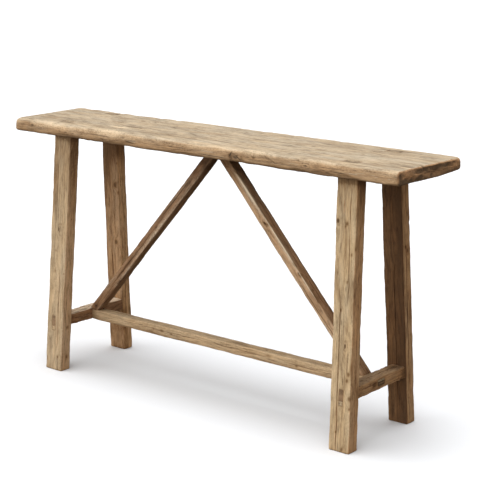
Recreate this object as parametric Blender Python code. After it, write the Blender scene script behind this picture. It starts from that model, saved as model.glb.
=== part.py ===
"""A console table in reclaimed wood, with every joint cut as a real one.

Frame: metres, +Z up, +X along the length, -Y is the front. The origin is on the floor,
under the middle of the table.

A single thick plank rests on the shoulders of four splayed legs, whose tenons run up
through it and are wedged. A side stretcher joins the two legs of each end, a long
stretcher joins the two side stretchers, and two braces rise from the long stretcher
and lean on each other under the middle of the plank.
"""

import math

import bmesh
import bpy
from mathutils import Vector

# ---------------------------------------------------------------- driving dimensions

HEIGHT = 0.8001
GAP = 0.0003  # clearance between two pieces that touch

# the plank
PLANK_LENGTH = 1.4605
PLANK_DEPTH = 0.2997
PLANK_THICKNESS = 0.0400
PLANK_TOP_ROUND = 0.0110  # radius along its upper long edges
PLANK_END_ROUND = 0.0070  # radius around its two ends
CORNER_RADII = {
    "front_left": 0.011,
    "back_left": 0.016,
    "front_right": 0.014,
    "back_right": 0.013,
}
# its long edges wander in and out, and their lower arrises are worn unevenly
EDGE_WANDER = 0.0009
FRONT_WANDER = (5.2, 3.84)  # radians per metre, and the wave's start
BACK_WANDER = (4.1, 2.0)
LOWER_ROUND = 0.0065
LOWER_ROUND_WAVE = (0.0008, 11.0)  # depth, and radians per metre
LOWER_ROUND_WORN = (0.0025, 0.28, 0.16)  # extra radius, its middle, its half width
UPPER_STEPS = 4
LOWER_STEPS = 3
MIDDLE_SPANS = 15
END_STATIONS = (0.0, 0.0014, 0.0042, 0.0080, 0.0120, 0.0180)  # sections drawn near an end
UNDERSIDE = HEIGHT - PLANK_THICKNESS

# the legs: where each stands, where it meets the plank, and its width and depth
FOOT_Y = 0.1490
HEAD_Y = 0.1012
LEGS = {
    "front_left": {"foot_x": -0.5680, "head_x": -0.5410, "side": -1, "width": 0.0705, "depth": 0.0390},
    "back_left": {"foot_x": -0.5700, "head_x": -0.5420, "side": 1, "width": 0.0655, "depth": 0.0390},
    "front_right": {"foot_x": 0.5690, "head_x": 0.5515, "side": -1, "width": 0.0675, "depth": 0.0415},
    "back_right": {"foot_x": 0.5640, "head_x": 0.5515, "side": 1, "width": 0.0650, "depth": 0.0415},
}
LEG_ROUND = 0.0040
LEG_TENON = (0.0460, 0.0200)  # along the length, across the depth
LEG_WEDGE_THICK = 0.0052
WEDGE_TAPER = 0.5  # a wedge's thin end, as a share of its thick end
WEDGE_DRIVEN = 0.9  # how much of its hole a wedge fills

# the stretchers
SIDE_TOP = 0.1790
SIDE_BOTTOM = 0.1430
SIDE_WIDTH = 0.0450
SIDE_CENTRE_X = {"left": -0.5570, "right": 0.5690}
SIDE_TENON_X = {"left": -0.5675, "right": 0.5675}
SIDE_TENON_WIDTH = 0.0130
SIDE_SHOULDER = 0.0015  # step between the stretcher and its tenon, above and below
SIDE_WEDGE_THICK = 0.0120
LONG_TOP = 0.1735
LONG_BOTTOM = 0.1425
LONG_DEPTH = 0.0360
LONG_TENON_DEPTH = 0.0320
LONG_TENON_BOTTOM = 0.1545
LONG_TENON_THICK = 0.0120
LONG_WEDGE_THICK = 0.0050
STRETCHER_ROUND = 0.0045

# the braces
BRACE_FOOT_X = 0.5300  # centre line, at the long stretcher's top
BRACE_HEAD_X = 0.0060  # centre line, at the plank's underside
BRACE_WIDTH = 0.0270  # seen from the front
BRACE_DEPTH = 0.0360
BRACE_ROUND = 0.0035

# the nails that hold the braces
NAIL_FOOT_PLACE = (0.5135, 0.0180)  # out from the middle, and up from the long stretcher
NAIL_HEAD_PLACE = (0.0250, 0.0200)  # out from the middle, and down from the plank
NAIL_LENGTH = 0.0500
NAIL_HEAD_RADIUS = 0.0036
NAIL_HEAD_THICK = 0.0014
NAIL_SHANK_RADIUS = 0.0014
NAIL_SIDES = 10
NAIL_STAGGER = 0.0045  # the front and the back nail of a joint pass each other
NAIL_LEAN = math.radians(58)  # up from level
NAIL_PROUD = 0.0002  # how far a head stands out from the brace's face
# shares: the head's flat crown, its full radius's depth, the shank's taper, its point
NAIL_CROWN = 0.8
NAIL_CROWN_DEPTH = 0.3
NAIL_TAPER = (0.8, 0.8)
NAIL_POINT = 0.3

BEYOND = 0.2  # a cutting tool reaches this far past the piece it cuts
ROUND_SEGMENTS = 3

# colour, roughness and metallic value of each finish
WORN_WOOD = ((0.51, 0.39, 0.26, 1.0), 0.78, 0.0)
BROWN_WOOD = ((0.36, 0.25, 0.15, 1.0), 0.80, 0.0)
DARK_WOOD = ((0.22, 0.145, 0.085, 1.0), 0.82, 0.0)
OLD_IRON = ((0.075, 0.062, 0.052, 1.0), 0.62, 0.85)


# ---------------------------------------------------------------- helpers

def clear_scene():
    for leftover in list(bpy.data.objects):
        bpy.data.objects.remove(leftover, do_unlink=True)


def make_piece(name, bm, place=Vector((0, 0, 0))):
    """Turn a bmesh, drawn around its own origin, into an object standing at `place`."""
    bmesh.ops.recalc_face_normals(bm, faces=bm.faces)
    mesh = bpy.data.meshes.new(name)
    bm.to_mesh(mesh)
    bm.free()
    piece = bpy.data.objects.new(name, mesh)
    piece.location = place
    bpy.context.scene.collection.objects.link(piece)
    bpy.context.view_layer.update()
    return piece


def loft(rings):
    """Skin closed rings of equal length, in order, and cap both ends."""
    bm = bmesh.new()
    loops = []
    for ring in rings:
        loops.append([bm.verts.new(point) for point in ring])
    for near, far in zip(loops, loops[1:]):
        for i in range(len(near)):
            j = (i + 1) % len(near)
            bm.faces.new((near[i], near[j], far[j], far[i]))
    bm.faces.new(loops[0])
    bm.faces.new(reversed(loops[-1]))
    return bm


def round_edges(bm, axis, radius):
    """Round the edges that run along one axis (0, 1 or 2)."""
    chosen = []
    for edge in bm.edges:
        run = edge.verts[1].co - edge.verts[0].co
        if abs(run.normalized()[axis]) > 0.9:
            chosen.append(edge)
    bmesh.ops.bevel(
        bm, geom=chosen, offset=radius, segments=ROUND_SEGMENTS, profile=0.5, affect="EDGES"
    )


def settle(piece):
    """Make a piece's modifiers permanent."""
    graph = bpy.context.evaluated_depsgraph_get()
    solid = bpy.data.meshes.new_from_object(piece.evaluated_get(graph))
    piece.modifiers.clear()
    piece.data = solid


def combine(piece, tool, operation="DIFFERENCE"):
    """Cut a piece with a tool, or join the tool to it, and use the tool up."""
    joint = piece.modifiers.new("joint", "BOOLEAN")
    joint.operation = operation
    joint.solver = "EXACT"
    joint.object = tool
    settle(piece)
    bpy.data.objects.remove(tool, do_unlink=True)


def box(name, low, high):
    """A plain block between two corners."""
    ends = []
    for x in (low[0], high[0]):
        ends.append([
            (x, low[1], low[2]),
            (x, high[1], low[2]),
            (x, high[1], high[2]),
            (x, low[1], high[2]),
        ])
    return make_piece(name, loft(ends))


def finish(piece, look, smooth=False):
    """Give a piece its own material."""
    colour, roughness, metallic = look
    material = bpy.data.materials.new(piece.name)
    material.use_nodes = True
    shader = material.node_tree.nodes["Principled BSDF"]
    shader.inputs["Base Color"].default_value = colour
    shader.inputs["Roughness"].default_value = roughness
    shader.inputs["Metallic"].default_value = metallic
    piece.data.materials.clear()
    piece.data.materials.append(material)
    for face in piece.data.polygons:
        face.material_index = 0
    if smooth:
        piece.data.shade_smooth()
        piece.data.set_sharp_from_angle(angle=math.radians(40))


# ---------------------------------------------------------------- the plank

def quarter_arc(centre, radius, start_deg, steps):
    """Points of a quarter circle as (y, z), turning clockwise from start_deg."""
    points = []
    for i in range(steps + 1):
        angle = math.radians(start_deg - 90 * i / steps)
        points.append((centre[0] + radius * math.cos(angle), centre[1] + radius * math.sin(angle)))
    return points


def arc_inset(distance, radius):
    """How far a rounded corner stands back at a distance from the end."""
    if distance >= radius:
        return 0.0
    return radius - math.sqrt(radius ** 2 - (radius - distance) ** 2)


def lower_edge_round(x):
    """The radius of the lower long edges at x."""
    depth, pitch = LOWER_ROUND_WAVE
    extra, middle, half_width = LOWER_ROUND_WORN
    worn = extra * math.exp(-((x - middle) / half_width) ** 2)
    return LOWER_ROUND + worn + depth * math.sin(pitch * x)


def edge_wander(x, wave):
    """How far a long edge stands in from its straight line at x."""
    return EDGE_WANDER * (1 + math.cos(wave[0] * x + wave[1]))


def plank_outline(x, distance, end):
    """The plank's cross-section at x, `distance` from its left or right end."""
    shrink = arc_inset(distance, PLANK_END_ROUND)
    front_inset = shrink + edge_wander(x, FRONT_WANDER)
    front_inset += arc_inset(distance, CORNER_RADII["front_" + end])
    back_inset = shrink + edge_wander(x, BACK_WANDER)
    back_inset += arc_inset(distance, CORNER_RADII["back_" + end])
    front = front_inset - PLANK_DEPTH / 2
    back = PLANK_DEPTH / 2 - back_inset
    low = UNDERSIDE + shrink
    high = HEIGHT - shrink
    upper = PLANK_TOP_ROUND - shrink
    lower = lower_edge_round(x) - shrink / 2
    return (
        quarter_arc((front + lower, low + lower), lower, 270, LOWER_STEPS)
        + quarter_arc((front + upper, high - upper), upper, 180, UPPER_STEPS)
        + quarter_arc((back - upper, high - upper), upper, 90, UPPER_STEPS)
        + quarter_arc((back - lower, low + lower), lower, 0, LOWER_STEPS)
    )


def plank_stations():
    """Distances from the left end at which the plank's section is drawn."""
    middle = [PLANK_LENGTH * i / MIDDLE_SPANS for i in range(1, MIDDLE_SPANS)]
    far_end = [PLANK_LENGTH - distance for distance in reversed(END_STATIONS)]
    return list(END_STATIONS) + middle + far_end


def table_top():
    rings = []
    for station in plank_stations():
        x = station - PLANK_LENGTH / 2
        distance = min(station, PLANK_LENGTH - station)
        end = "left" if x < 0 else "right"
        rings.append([(x, y, z) for y, z in plank_outline(x, distance, end)])
    plank = make_piece("table_top", loft(rings))
    for corner in LEGS:
        combine(plank, leg_mortise(corner))
    return plank


# ---------------------------------------------------------------- the legs

def leg_centre(corner, z):
    """The middle of a leg at height z."""
    leg = LEGS[corner]
    share = z / UNDERSIDE
    x = leg["foot_x"] + (leg["head_x"] - leg["foot_x"]) * share
    y = leg["side"] * (FOOT_Y + (HEAD_Y - FOOT_Y) * share)
    return x, y


def leg_face(corner, z, outer):
    """The Y of a leg's outer or inner face at height z."""
    leg = LEGS[corner]
    outwards = 1 if outer else -1
    return leg_centre(corner, z)[1] + outwards * leg["side"] * leg["depth"] / 2


def leaning_block(corner, low, high, x_span, y_span):
    """A block that leans with its leg: spans are measured from the leg's centre."""
    foot = Vector((*leg_centre(corner, 0), 0))
    rings = []
    for z in (low, high):
        x, y = leg_centre(corner, z)
        middle = Vector((x, y, z)) - foot
        rings.append([
            middle + Vector((x_span[0], y_span[0], 0)),
            middle + Vector((x_span[1], y_span[0], 0)),
            middle + Vector((x_span[1], y_span[1], 0)),
            middle + Vector((x_span[0], y_span[1], 0)),
        ])
    return loft(rings), foot


def leg_tenon_spans(corner):
    """Where the tenon lies in the leg. The wedge sits beside it, on the inner side."""
    side = LEGS[corner]["side"]
    x_span = (-LEG_TENON[0] / 2, LEG_TENON[0] / 2)
    outer_y = side * (LEG_TENON[1] / 2 + LEG_WEDGE_THICK / 2)
    inner_y = outer_y - side * LEG_TENON[1]
    return x_span, outer_y, inner_y


def leg_mortise(corner):
    """The slanting hole through the plank for a tenon and its wedge."""
    side = LEGS[corner]["side"]
    x_span, outer_y, inner_y = leg_tenon_spans(corner)
    x_span = (x_span[0] - GAP, x_span[1] + GAP)
    y_span = sorted((outer_y + side * GAP, inner_y - side * (LEG_WEDGE_THICK + 2 * GAP)))
    bm, foot = leaning_block(corner, UNDERSIDE - BEYOND, HEIGHT + BEYOND, x_span, y_span)
    return make_piece("mortise", bm, foot)


def leg(corner):
    shape = LEGS[corner]
    half_width = shape["width"] / 2
    half_depth = shape["depth"] / 2
    bm, foot = leaning_block(
        corner, 0, UNDERSIDE - GAP, (-half_width, half_width), (-half_depth, half_depth)
    )
    round_edges(bm, 2, LEG_ROUND)
    post = make_piece(corner + "_leg", bm, foot)

    x_span, outer_y, inner_y = leg_tenon_spans(corner)
    root = UNDERSIDE - PLANK_THICKNESS / 4
    bm, foot = leaning_block(corner, root, HEIGHT, x_span, sorted((outer_y, inner_y)))
    combine(post, make_piece("tenon", bm, foot), "UNION")

    end = corner.split("_")[1]
    half_hole = SIDE_TENON_WIDTH / 2 + GAP
    low = SIDE_BOTTOM + SIDE_SHOULDER - SIDE_WEDGE_THICK - 2 * GAP
    high = SIDE_TOP - SIDE_SHOULDER + GAP
    hole = box(
        "hole",
        (SIDE_TENON_X[end] - half_hole, -FOOT_Y - BEYOND, low),
        (SIDE_TENON_X[end] + half_hole, FOOT_Y + BEYOND, high),
    )
    combine(post, hole)
    return post


def leg_wedge(corner):
    """A tapered wedge driven down beside the tenon, level with the plank's top."""
    side = LEGS[corner]["side"]
    x_span, _, inner_y = leg_tenon_spans(corner)
    foot = Vector((*leg_centre(corner, 0), 0))
    rings = []
    tip = HEIGHT - WEDGE_DRIVEN * PLANK_THICKNESS
    for z, thick in ((tip, WEDGE_TAPER * LEG_WEDGE_THICK), (HEIGHT, LEG_WEDGE_THICK)):
        x, y = leg_centre(corner, z)
        middle = Vector((x, y, z)) - foot
        near = inner_y - side * GAP
        far = near - side * thick
        rings.append([
            middle + Vector((x_span[0], near, 0)),
            middle + Vector((x_span[1], near, 0)),
            middle + Vector((x_span[1], far, 0)),
            middle + Vector((x_span[0], far, 0)),
        ])
    return make_piece(corner + "_leg_wedge", loft(rings), foot)


# ---------------------------------------------------------------- the side stretchers

def crossbar(x_span, z_span, end, outer, gap):
    """A bar along Y whose ends lie in the sloping faces of the end's two legs."""
    rings = []
    for corner in ("front_" + end, "back_" + end):
        inwards = -LEGS[corner]["side"]
        ring = []
        for x, z in (
            (x_span[0], z_span[0]),
            (x_span[1], z_span[0]),
            (x_span[1], z_span[1]),
            (x_span[0], z_span[1]),
        ):
            ring.append(Vector((x, leg_face(corner, z, outer) + inwards * gap, z)))
        rings.append(ring)
    return loft(rings)


def side_stretcher(end):
    centre = SIDE_CENTRE_X[end]
    x_span = (centre - SIDE_WIDTH / 2, centre + SIDE_WIDTH / 2)
    bm = crossbar(x_span, (SIDE_BOTTOM, SIDE_TOP), end, outer=False, gap=GAP)
    round_edges(bm, 1, STRETCHER_ROUND)
    bar = make_piece(end + "_side_stretcher", bm)

    tenon_x = SIDE_TENON_X[end]
    tenon_span = (tenon_x - SIDE_TENON_WIDTH / 2, tenon_x + SIDE_TENON_WIDTH / 2)
    tenon_z = (SIDE_BOTTOM + SIDE_SHOULDER, SIDE_TOP - SIDE_SHOULDER)
    combine(bar, make_piece("tenon", crossbar(tenon_span, tenon_z, end, outer=True, gap=0)), "UNION")

    hole_top = LONG_TENON_BOTTOM + LONG_TENON_THICK + LONG_WEDGE_THICK + 2 * GAP
    hole = box(
        "hole",
        (centre - SIDE_WIDTH, -LONG_TENON_DEPTH / 2 - GAP, LONG_TENON_BOTTOM - GAP),
        (centre + SIDE_WIDTH, LONG_TENON_DEPTH / 2 + GAP, hole_top),
    )
    combine(bar, hole)
    return bar


def side_stretcher_wedge(corner):
    """A wedge driven in from the leg's outer face, under the stretcher's tenon."""
    end = corner.split("_")[1]
    top = SIDE_BOTTOM + SIDE_SHOULDER - GAP
    x_span = (SIDE_TENON_X[end] - SIDE_TENON_WIDTH / 2, SIDE_TENON_X[end] + SIDE_TENON_WIDTH / 2)
    rings = []
    for outer, thick in ((True, SIDE_WEDGE_THICK), (False, WEDGE_TAPER * SIDE_WEDGE_THICK)):
        ring = []
        for x, z in (
            (x_span[0], top - thick),
            (x_span[1], top - thick),
            (x_span[1], top),
            (x_span[0], top),
        ):
            ring.append(Vector((x, leg_face(corner, z, outer), z)))
        rings.append(ring)
    return make_piece(corner + "_stretcher_wedge", loft(rings))


# ---------------------------------------------------------------- the long stretcher

def side_face(end, outer):
    """The X of a side stretcher's outer or inner face."""
    direction = -1 if end == "left" else 1
    if not outer:
        direction = -direction
    return SIDE_CENTRE_X[end] + direction * SIDE_WIDTH / 2


def long_stretcher():
    rings = []
    for x in (side_face("left", outer=False) + GAP, side_face("right", outer=False) - GAP):
        rings.append([
            (x, -LONG_DEPTH / 2, LONG_BOTTOM),
            (x, LONG_DEPTH / 2, LONG_BOTTOM),
            (x, LONG_DEPTH / 2, LONG_TOP),
            (x, -LONG_DEPTH / 2, LONG_TOP),
        ])
    bm = loft(rings)
    round_edges(bm, 0, STRETCHER_ROUND)
    bar = make_piece("long_stretcher", bm)
    tenon = box(
        "tenon",
        (side_face("left", outer=True), -LONG_TENON_DEPTH / 2, LONG_TENON_BOTTOM),
        (side_face("right", outer=True), LONG_TENON_DEPTH / 2, LONG_TENON_BOTTOM + LONG_TENON_THICK),
    )
    combine(bar, tenon, "UNION")
    return bar


def long_stretcher_wedge(end):
    """A wedge driven in from the side stretcher's outer face, over the long tenon."""
    bottom = LONG_TENON_BOTTOM + LONG_TENON_THICK + GAP
    half_depth = LONG_TENON_DEPTH / 2
    inwards = 1 if end == "left" else -1
    driven_in = WEDGE_DRIVEN * SIDE_WIDTH
    stations = (
        (side_face(end, outer=True), LONG_WEDGE_THICK),
        (side_face(end, outer=True) + inwards * driven_in, WEDGE_TAPER * LONG_WEDGE_THICK),
    )
    rings = []
    for x, thick in stations:
        rings.append([
            (x, -half_depth, bottom),
            (x, half_depth, bottom),
            (x, half_depth, bottom + thick),
            (x, -half_depth, bottom + thick),
        ])
    return make_piece("long_stretcher_" + end + "_wedge", loft(rings))


# ---------------------------------------------------------------- the braces

def brace(end):
    """A slanting brace, scribed over the stretchers at its foot and mitred at its head."""
    side = -1 if end == "left" else 1
    foot = Vector((side * BRACE_FOOT_X, 0, LONG_TOP))
    head = Vector((side * BRACE_HEAD_X, 0, UNDERSIDE))
    run = head - foot
    spare = 2 * BRACE_WIDTH
    rings = []
    for x in (-spare, run.length + spare):
        rings.append([
            (x, -BRACE_DEPTH / 2, -BRACE_WIDTH / 2),
            (x, BRACE_DEPTH / 2, -BRACE_WIDTH / 2),
            (x, BRACE_DEPTH / 2, BRACE_WIDTH / 2),
            (x, -BRACE_DEPTH / 2, BRACE_WIDTH / 2),
        ])
    bm = loft(rings)
    round_edges(bm, 0, BRACE_ROUND)
    bar = make_piece(end + "_brace", bm, foot)
    bar.rotation_euler = (0, -math.atan2(run.z, run.x), 0)
    bpy.context.view_layer.update()

    half_length = PLANK_LENGTH / 2
    over_side_stretcher = sorted((side_face(end, outer=False) - side * GAP, side * half_length))
    past_middle = sorted((side * GAP / 2, -side * BEYOND))
    waste = {
        "below_long_stretcher_top": ((-half_length, half_length), (0, LONG_TOP + GAP)),
        "below_side_stretcher_top": (over_side_stretcher, (0, SIDE_TOP + GAP)),
        "above_underside": ((-half_length, half_length), (UNDERSIDE - GAP, HEIGHT + BEYOND)),
        "past_middle": (past_middle, (UNDERSIDE - BEYOND, HEIGHT + BEYOND)),
    }
    for name, (x_span, z_span) in waste.items():
        block = box(name, (x_span[0], -BRACE_DEPTH, z_span[0]), (x_span[1], BRACE_DEPTH, z_span[1]))
        combine(bar, block)
    return bar


# ---------------------------------------------------------------- the nails

def turned(profile):
    """Turn a profile of (height, radius) pairs about Z and cap it."""
    rings = []
    for z, radius in profile:
        ring = []
        for i in range(NAIL_SIDES):
            angle = 2 * math.pi * i / NAIL_SIDES
            ring.append(Vector((radius * math.cos(angle), radius * math.sin(angle), z)))
        rings.append(ring)
    return loft(rings)


def nail(name, grow=0.0, above=0.0):
    """A nail along its own -Z, head at the origin. A grown one, open above, is its hole."""
    tip = NAIL_LENGTH + grow
    head = NAIL_HEAD_RADIUS + grow
    shank = NAIL_SHANK_RADIUS + grow
    under_head = -NAIL_HEAD_THICK - grow
    return make_piece(name, turned([
        (above, NAIL_CROWN * head if above == 0 else head),
        (-NAIL_CROWN_DEPTH * NAIL_HEAD_THICK, head),
        (under_head, head),
        (under_head - NAIL_PROUD, shank),
        (-NAIL_TAPER[0] * tip, NAIL_TAPER[1] * shank),
        (-tip, NAIL_POINT * shank),
    ]))


def nail_places():
    """Name, start and drive direction of the eight skew nails."""
    places = {}
    for end, end_side in (("left", -1), ("right", 1)):
        for face, face_side in (("front", -1), ("back", 1)):
            y = face_side * (BRACE_DEPTH / 2 + NAIL_PROUD)
            shift = face_side * NAIL_STAGGER
            across = -face_side * math.cos(NAIL_LEAN)
            rise = math.sin(NAIL_LEAN)
            out, up = NAIL_FOOT_PLACE
            places[end + "_foot_nail_" + face] = (
                Vector((end_side * out + shift, y, LONG_TOP + up)),
                Vector((0, across, -rise)),
            )
            out, down = NAIL_HEAD_PLACE
            places[end + "_head_nail_" + face] = (
                Vector((end_side * out + shift, y, UNDERSIDE - down)),
                Vector((0, across, rise)),
            )
    return places


def drive(tool, place):
    """Set a nail, or the tool for its hole, where it is driven."""
    start, direction = place
    tool.location = start
    tool.rotation_euler = (-direction).to_track_quat("Z", "Y").to_euler()
    bpy.context.view_layer.update()
    return tool


def drill_for_nails(piece, kind):
    """Cut the holes of all foot or head nails that pass through a piece."""
    for name, place in nail_places().items():
        if kind in name:
            combine(piece, drive(nail("hole", grow=GAP, above=4 * NAIL_HEAD_RADIUS), place))


# ---------------------------------------------------------------- the table

def build_table():
    clear_scene()

    plank = table_top()
    drill_for_nails(plank, "head")
    finish(plank, WORN_WOOD)

    for corner in LEGS:
        finish(leg(corner), BROWN_WOOD)
        finish(leg_wedge(corner), DARK_WOOD)
        finish(side_stretcher_wedge(corner), DARK_WOOD)

    for end in ("left", "right"):
        finish(side_stretcher(end), BROWN_WOOD)
        finish(long_stretcher_wedge(end), DARK_WOOD)
        bar = brace(end)
        drill_for_nails(bar, end + "_head")
        drill_for_nails(bar, end + "_foot")
        finish(bar, BROWN_WOOD)

    stretcher = long_stretcher()
    drill_for_nails(stretcher, "foot")
    finish(stretcher, WORN_WOOD)

    for name, place in nail_places().items():
        finish(drive(nail(name), place), OLD_IRON, smooth=True)


build_table()
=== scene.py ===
# %% [markdown]
# # A console table in reclaimed wood
#
# The real table is a thick old plank on four splayed legs. Every joint is a wooden one: the
# legs run up through the plank in wedged tenons, a short stretcher is tenoned through the two
# legs of each end, a long one through those two stretchers, and two slanting braces are
# nailed between the long stretcher and the plank.
#
# The packed model already has every piece at its right place and size, but with plain flat
# faces. This lesson rebuilds each timber around the same sizes with the waves, worn arrises,
# cracks and knots of old wood, and then gives it a finish.

import math

import bmesh
import bpy
import numpy as np
from mathutils import Matrix, Vector


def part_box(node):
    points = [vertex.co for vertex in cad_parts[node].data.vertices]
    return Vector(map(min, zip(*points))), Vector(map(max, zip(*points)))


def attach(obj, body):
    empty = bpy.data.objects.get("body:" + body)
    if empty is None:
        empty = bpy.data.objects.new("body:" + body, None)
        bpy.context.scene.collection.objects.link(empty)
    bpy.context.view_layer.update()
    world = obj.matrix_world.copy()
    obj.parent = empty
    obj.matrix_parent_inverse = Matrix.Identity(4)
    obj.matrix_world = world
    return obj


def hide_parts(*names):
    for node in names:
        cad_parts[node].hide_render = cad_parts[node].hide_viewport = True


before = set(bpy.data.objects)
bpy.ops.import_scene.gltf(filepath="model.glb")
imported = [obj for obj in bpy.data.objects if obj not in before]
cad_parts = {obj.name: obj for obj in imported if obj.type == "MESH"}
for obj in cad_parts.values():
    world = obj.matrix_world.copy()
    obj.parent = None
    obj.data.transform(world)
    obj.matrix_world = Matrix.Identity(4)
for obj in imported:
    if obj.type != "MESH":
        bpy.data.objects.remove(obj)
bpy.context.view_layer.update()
MM = 0.001

# %% [markdown]
# ## The studio
#
# A table like this is shown on a white floor that has no edge. One light is straight
# overhead and as wide as a ceiling panel, so it draws the soft shadow between the feet. A
# much wider one stands at the front left and lights the faces towards us. Both are sun
# lamps, because a sun lights a floor evenly as far as the eye goes, and its angle sets how
# soft the shadows are. A floor that reflects light would fill the shadows under the plank,
# so this one is hidden from bounced light, which is a setting of the object.

# %% The floor
FLOOR_HALF = 60.0
FLOOR_PAINT = (0.785, 0.805, 0.838)

floor_mesh = bpy.data.meshes.new("floor")
floor_mesh.from_pydata(
    [(x * FLOOR_HALF, y * FLOOR_HALF, 0) for x, y in ((-1, -1), (1, -1), (1, 1), (-1, 1))],
    [],
    [(0, 1, 2, 3)],
)
floor = bpy.data.objects.new("floor", floor_mesh)
bpy.context.scene.collection.objects.link(floor)
paint = bpy.data.materials.new("studio_floor")
paint.use_nodes = True
matt = paint.node_tree.nodes["Principled BSDF"].inputs
matt["Base Color"].default_value = (*FLOOR_PAINT, 1.0)
matt["Roughness"].default_value = 1.0
matt["Specular IOR Level"].default_value = 0.0
floor.data.materials.append(paint)
floor.visible_diffuse = False
floor.visible_glossy = False
floor.visible_shadow = False
print("floor", floor.dimensions[:2], "m")

# %% The sky around the studio
# A gentle glow from above, warmer light from the walls, and little from below.
SKY = (
    (0.0, (0.09, 0.07, 0.05)),
    (0.40, (0.14, 0.11, 0.08)),
    (0.53, (0.62, 0.54, 0.45)),
    (1.0, (0.46, 0.48, 0.50)),
)

world = bpy.data.worlds.new("studio")
world.use_nodes = True
bpy.context.scene.world = world
sky = world.node_tree
direction = sky.nodes.new("ShaderNodeTexCoord")
split = sky.nodes.new("ShaderNodeSeparateXYZ")
ramp = sky.nodes.new("ShaderNodeValToRGB")
height = sky.nodes.new("ShaderNodeMapRange")
height.inputs["From Min"].default_value = -1.0
sky.links.new(direction.outputs["Generated"], split.inputs[0])
sky.links.new(split.outputs["Z"], height.inputs["Value"])
sky.links.new(height.outputs["Result"], ramp.inputs["Fac"])
sky.links.new(ramp.outputs["Color"], sky.nodes["Background"].inputs["Color"])
stops = ramp.color_ramp.elements
while len(stops) < len(SKY):
    stops.new(0.5)
for stop, (place, glow) in zip(stops, SKY):
    stop.position = place
    stop.color = (*glow, 1.0)
print("sky from", SKY[0][1], "below to", SKY[-1][1], "overhead")


# %% The lamps
def sun(name, towards, strength, angle, colour=(1.0, 1.0, 1.0)):
    """A lamp that shines from a direction, as wide in the sky as `angle` degrees."""
    lamp = bpy.data.lights.new(name, "SUN")
    lamp.energy = strength
    lamp.angle = math.radians(angle)
    lamp.color = colour
    holder = bpy.data.objects.new(name, lamp)
    holder.rotation_euler = Vector(towards).to_track_quat("Z", "Y").to_euler()
    bpy.context.scene.collection.objects.link(holder)
    print(name, strength)


sun("overhead", (0.0, 0.03, 1.0), 1.8, 28)
sun("front_left", (-0.35, -0.85, 0.55), 2.6, 110, (1.0, 0.985, 0.96))

# %% [markdown]
# The camera has a long lens and stands well back, a little above the top and to the right of
# the front, so the upright timbers stay nearly parallel. The view transform is the plain one,
# so that a white floor stays white.

# %% The camera
CAMERA_PLACE = (2.8405, -3.3148, 1.5194)
CAMERA_TURN = math.radians(39.43)
CAMERA_DIP = math.radians(13.74)

camera_data = bpy.data.cameras.new("camera")
camera_data.lens = 107.8
camera_data.sensor_width = 36.0
camera_data.clip_end = 200.0
camera = bpy.data.objects.new("camera", camera_data)
camera.location = CAMERA_PLACE
camera.rotation_euler = (math.pi / 2 - CAMERA_DIP, 0.0, CAMERA_TURN)
bpy.context.scene.collection.objects.link(camera)
bpy.context.scene.camera = camera
bpy.context.scene.view_settings.view_transform = "Standard"
print("camera lens", camera_data.lens, "mm")

# %% [markdown]
# ## A kit for old timbers
#
# A timber is a bundle of fibres that run from one end to the other. So each one is drawn as
# a loft: many cross-sections along its length, with the same number of points on each, and
# every point belongs to one fibre. The faults of old wood follow the fibres too. A drying
# crack is one fibre that has sunk between its neighbours, and a knot pushes a few of them
# about. That is why the mesh is made point by point here and not sculpted.
#
# All the random waves come from seeded tables, so each run gives the same table.


# %% Random waves over a timber's skin
def waves(along, around, girth, steps, seed):
    """Smooth noise from -1 to 1 over (along, around), closed round the timber's girth."""
    random = np.random.default_rng(seed)
    columns = max(3, int(round(girth / steps[1])))
    a = along / steps[0] + 7.3
    a = a - np.floor(a.min()) + 1
    rows = int(a.max()) + 3
    table = random.uniform(-1, 1, (rows, columns))
    b = around / girth * columns
    row, column = np.floor(a).astype(int), np.floor(b).astype(int)
    u, v = a - row, b - column
    u, v = u * u * (3 - 2 * u), v * v * (3 - 2 * v)
    near = table[row, column % columns] * (1 - v) + table[row, (column + 1) % columns] * v
    far = table[row + 1, column % columns] * (1 - v) + table[row + 1, (column + 1) % columns] * v
    return near * (1 - u) + far * u


def rough(along, around, girth, steps, seed, octaves=3):
    """Several sizes of waves added up, each half as big and half as strong as the last."""
    total = 0
    for k in range(octaves):
        size = (steps[0] / 2 ** k, steps[1] / 2 ** k)
        total = total + waves(along, around, girth, size, seed + 17 * k) / 2 ** k
    return total / 1.5


print("waves from", round(float(waves(np.arange(0, 1, 0.01), np.zeros(100), 1, (0.1, 0.1), 1).min()), 2))


# %% The cross-section
ARC_STEPS = 4
ARRIS_REACH = 6 * MM


def fibre_list(width, depth, pitch, cracks):
    """Where each fibre starts on a rounded rectangle: its side or corner, and its share.

    Sides 0 to 3 are the low v, high u, high v and low u faces. A crack, given as
    (side, share), gets three fibres close together. Its number marks the middle one.
    """
    fibres = []
    for side in range(4):
        length = width if side % 2 == 0 else depth
        shares = [(share, -1) for share in np.linspace(0, 1, max(3, int(length / pitch)))[1:-1]]
        for number, crack in enumerate(cracks):
            if crack["side"] == side:
                half = crack["width"] / 2 / length
                near = [crack["share"] - 2 * half, crack["share"] + 2 * half]
                shares = [s for s in shares if not near[0] - half < s[0] < near[1] + half]
                shares += [(near[0], -1), (crack["share"], number), (near[1], -1)]
        fibres += [("side", side, share, number) for share, number in sorted(shares)]
        fibres += [("corner", side, step / ARC_STEPS, -1) for step in range(ARC_STEPS + 1)]
    return fibres


print(len(fibre_list(0.06, 0.04, 3 * MM, ())), "fibres round a leg")


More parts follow.
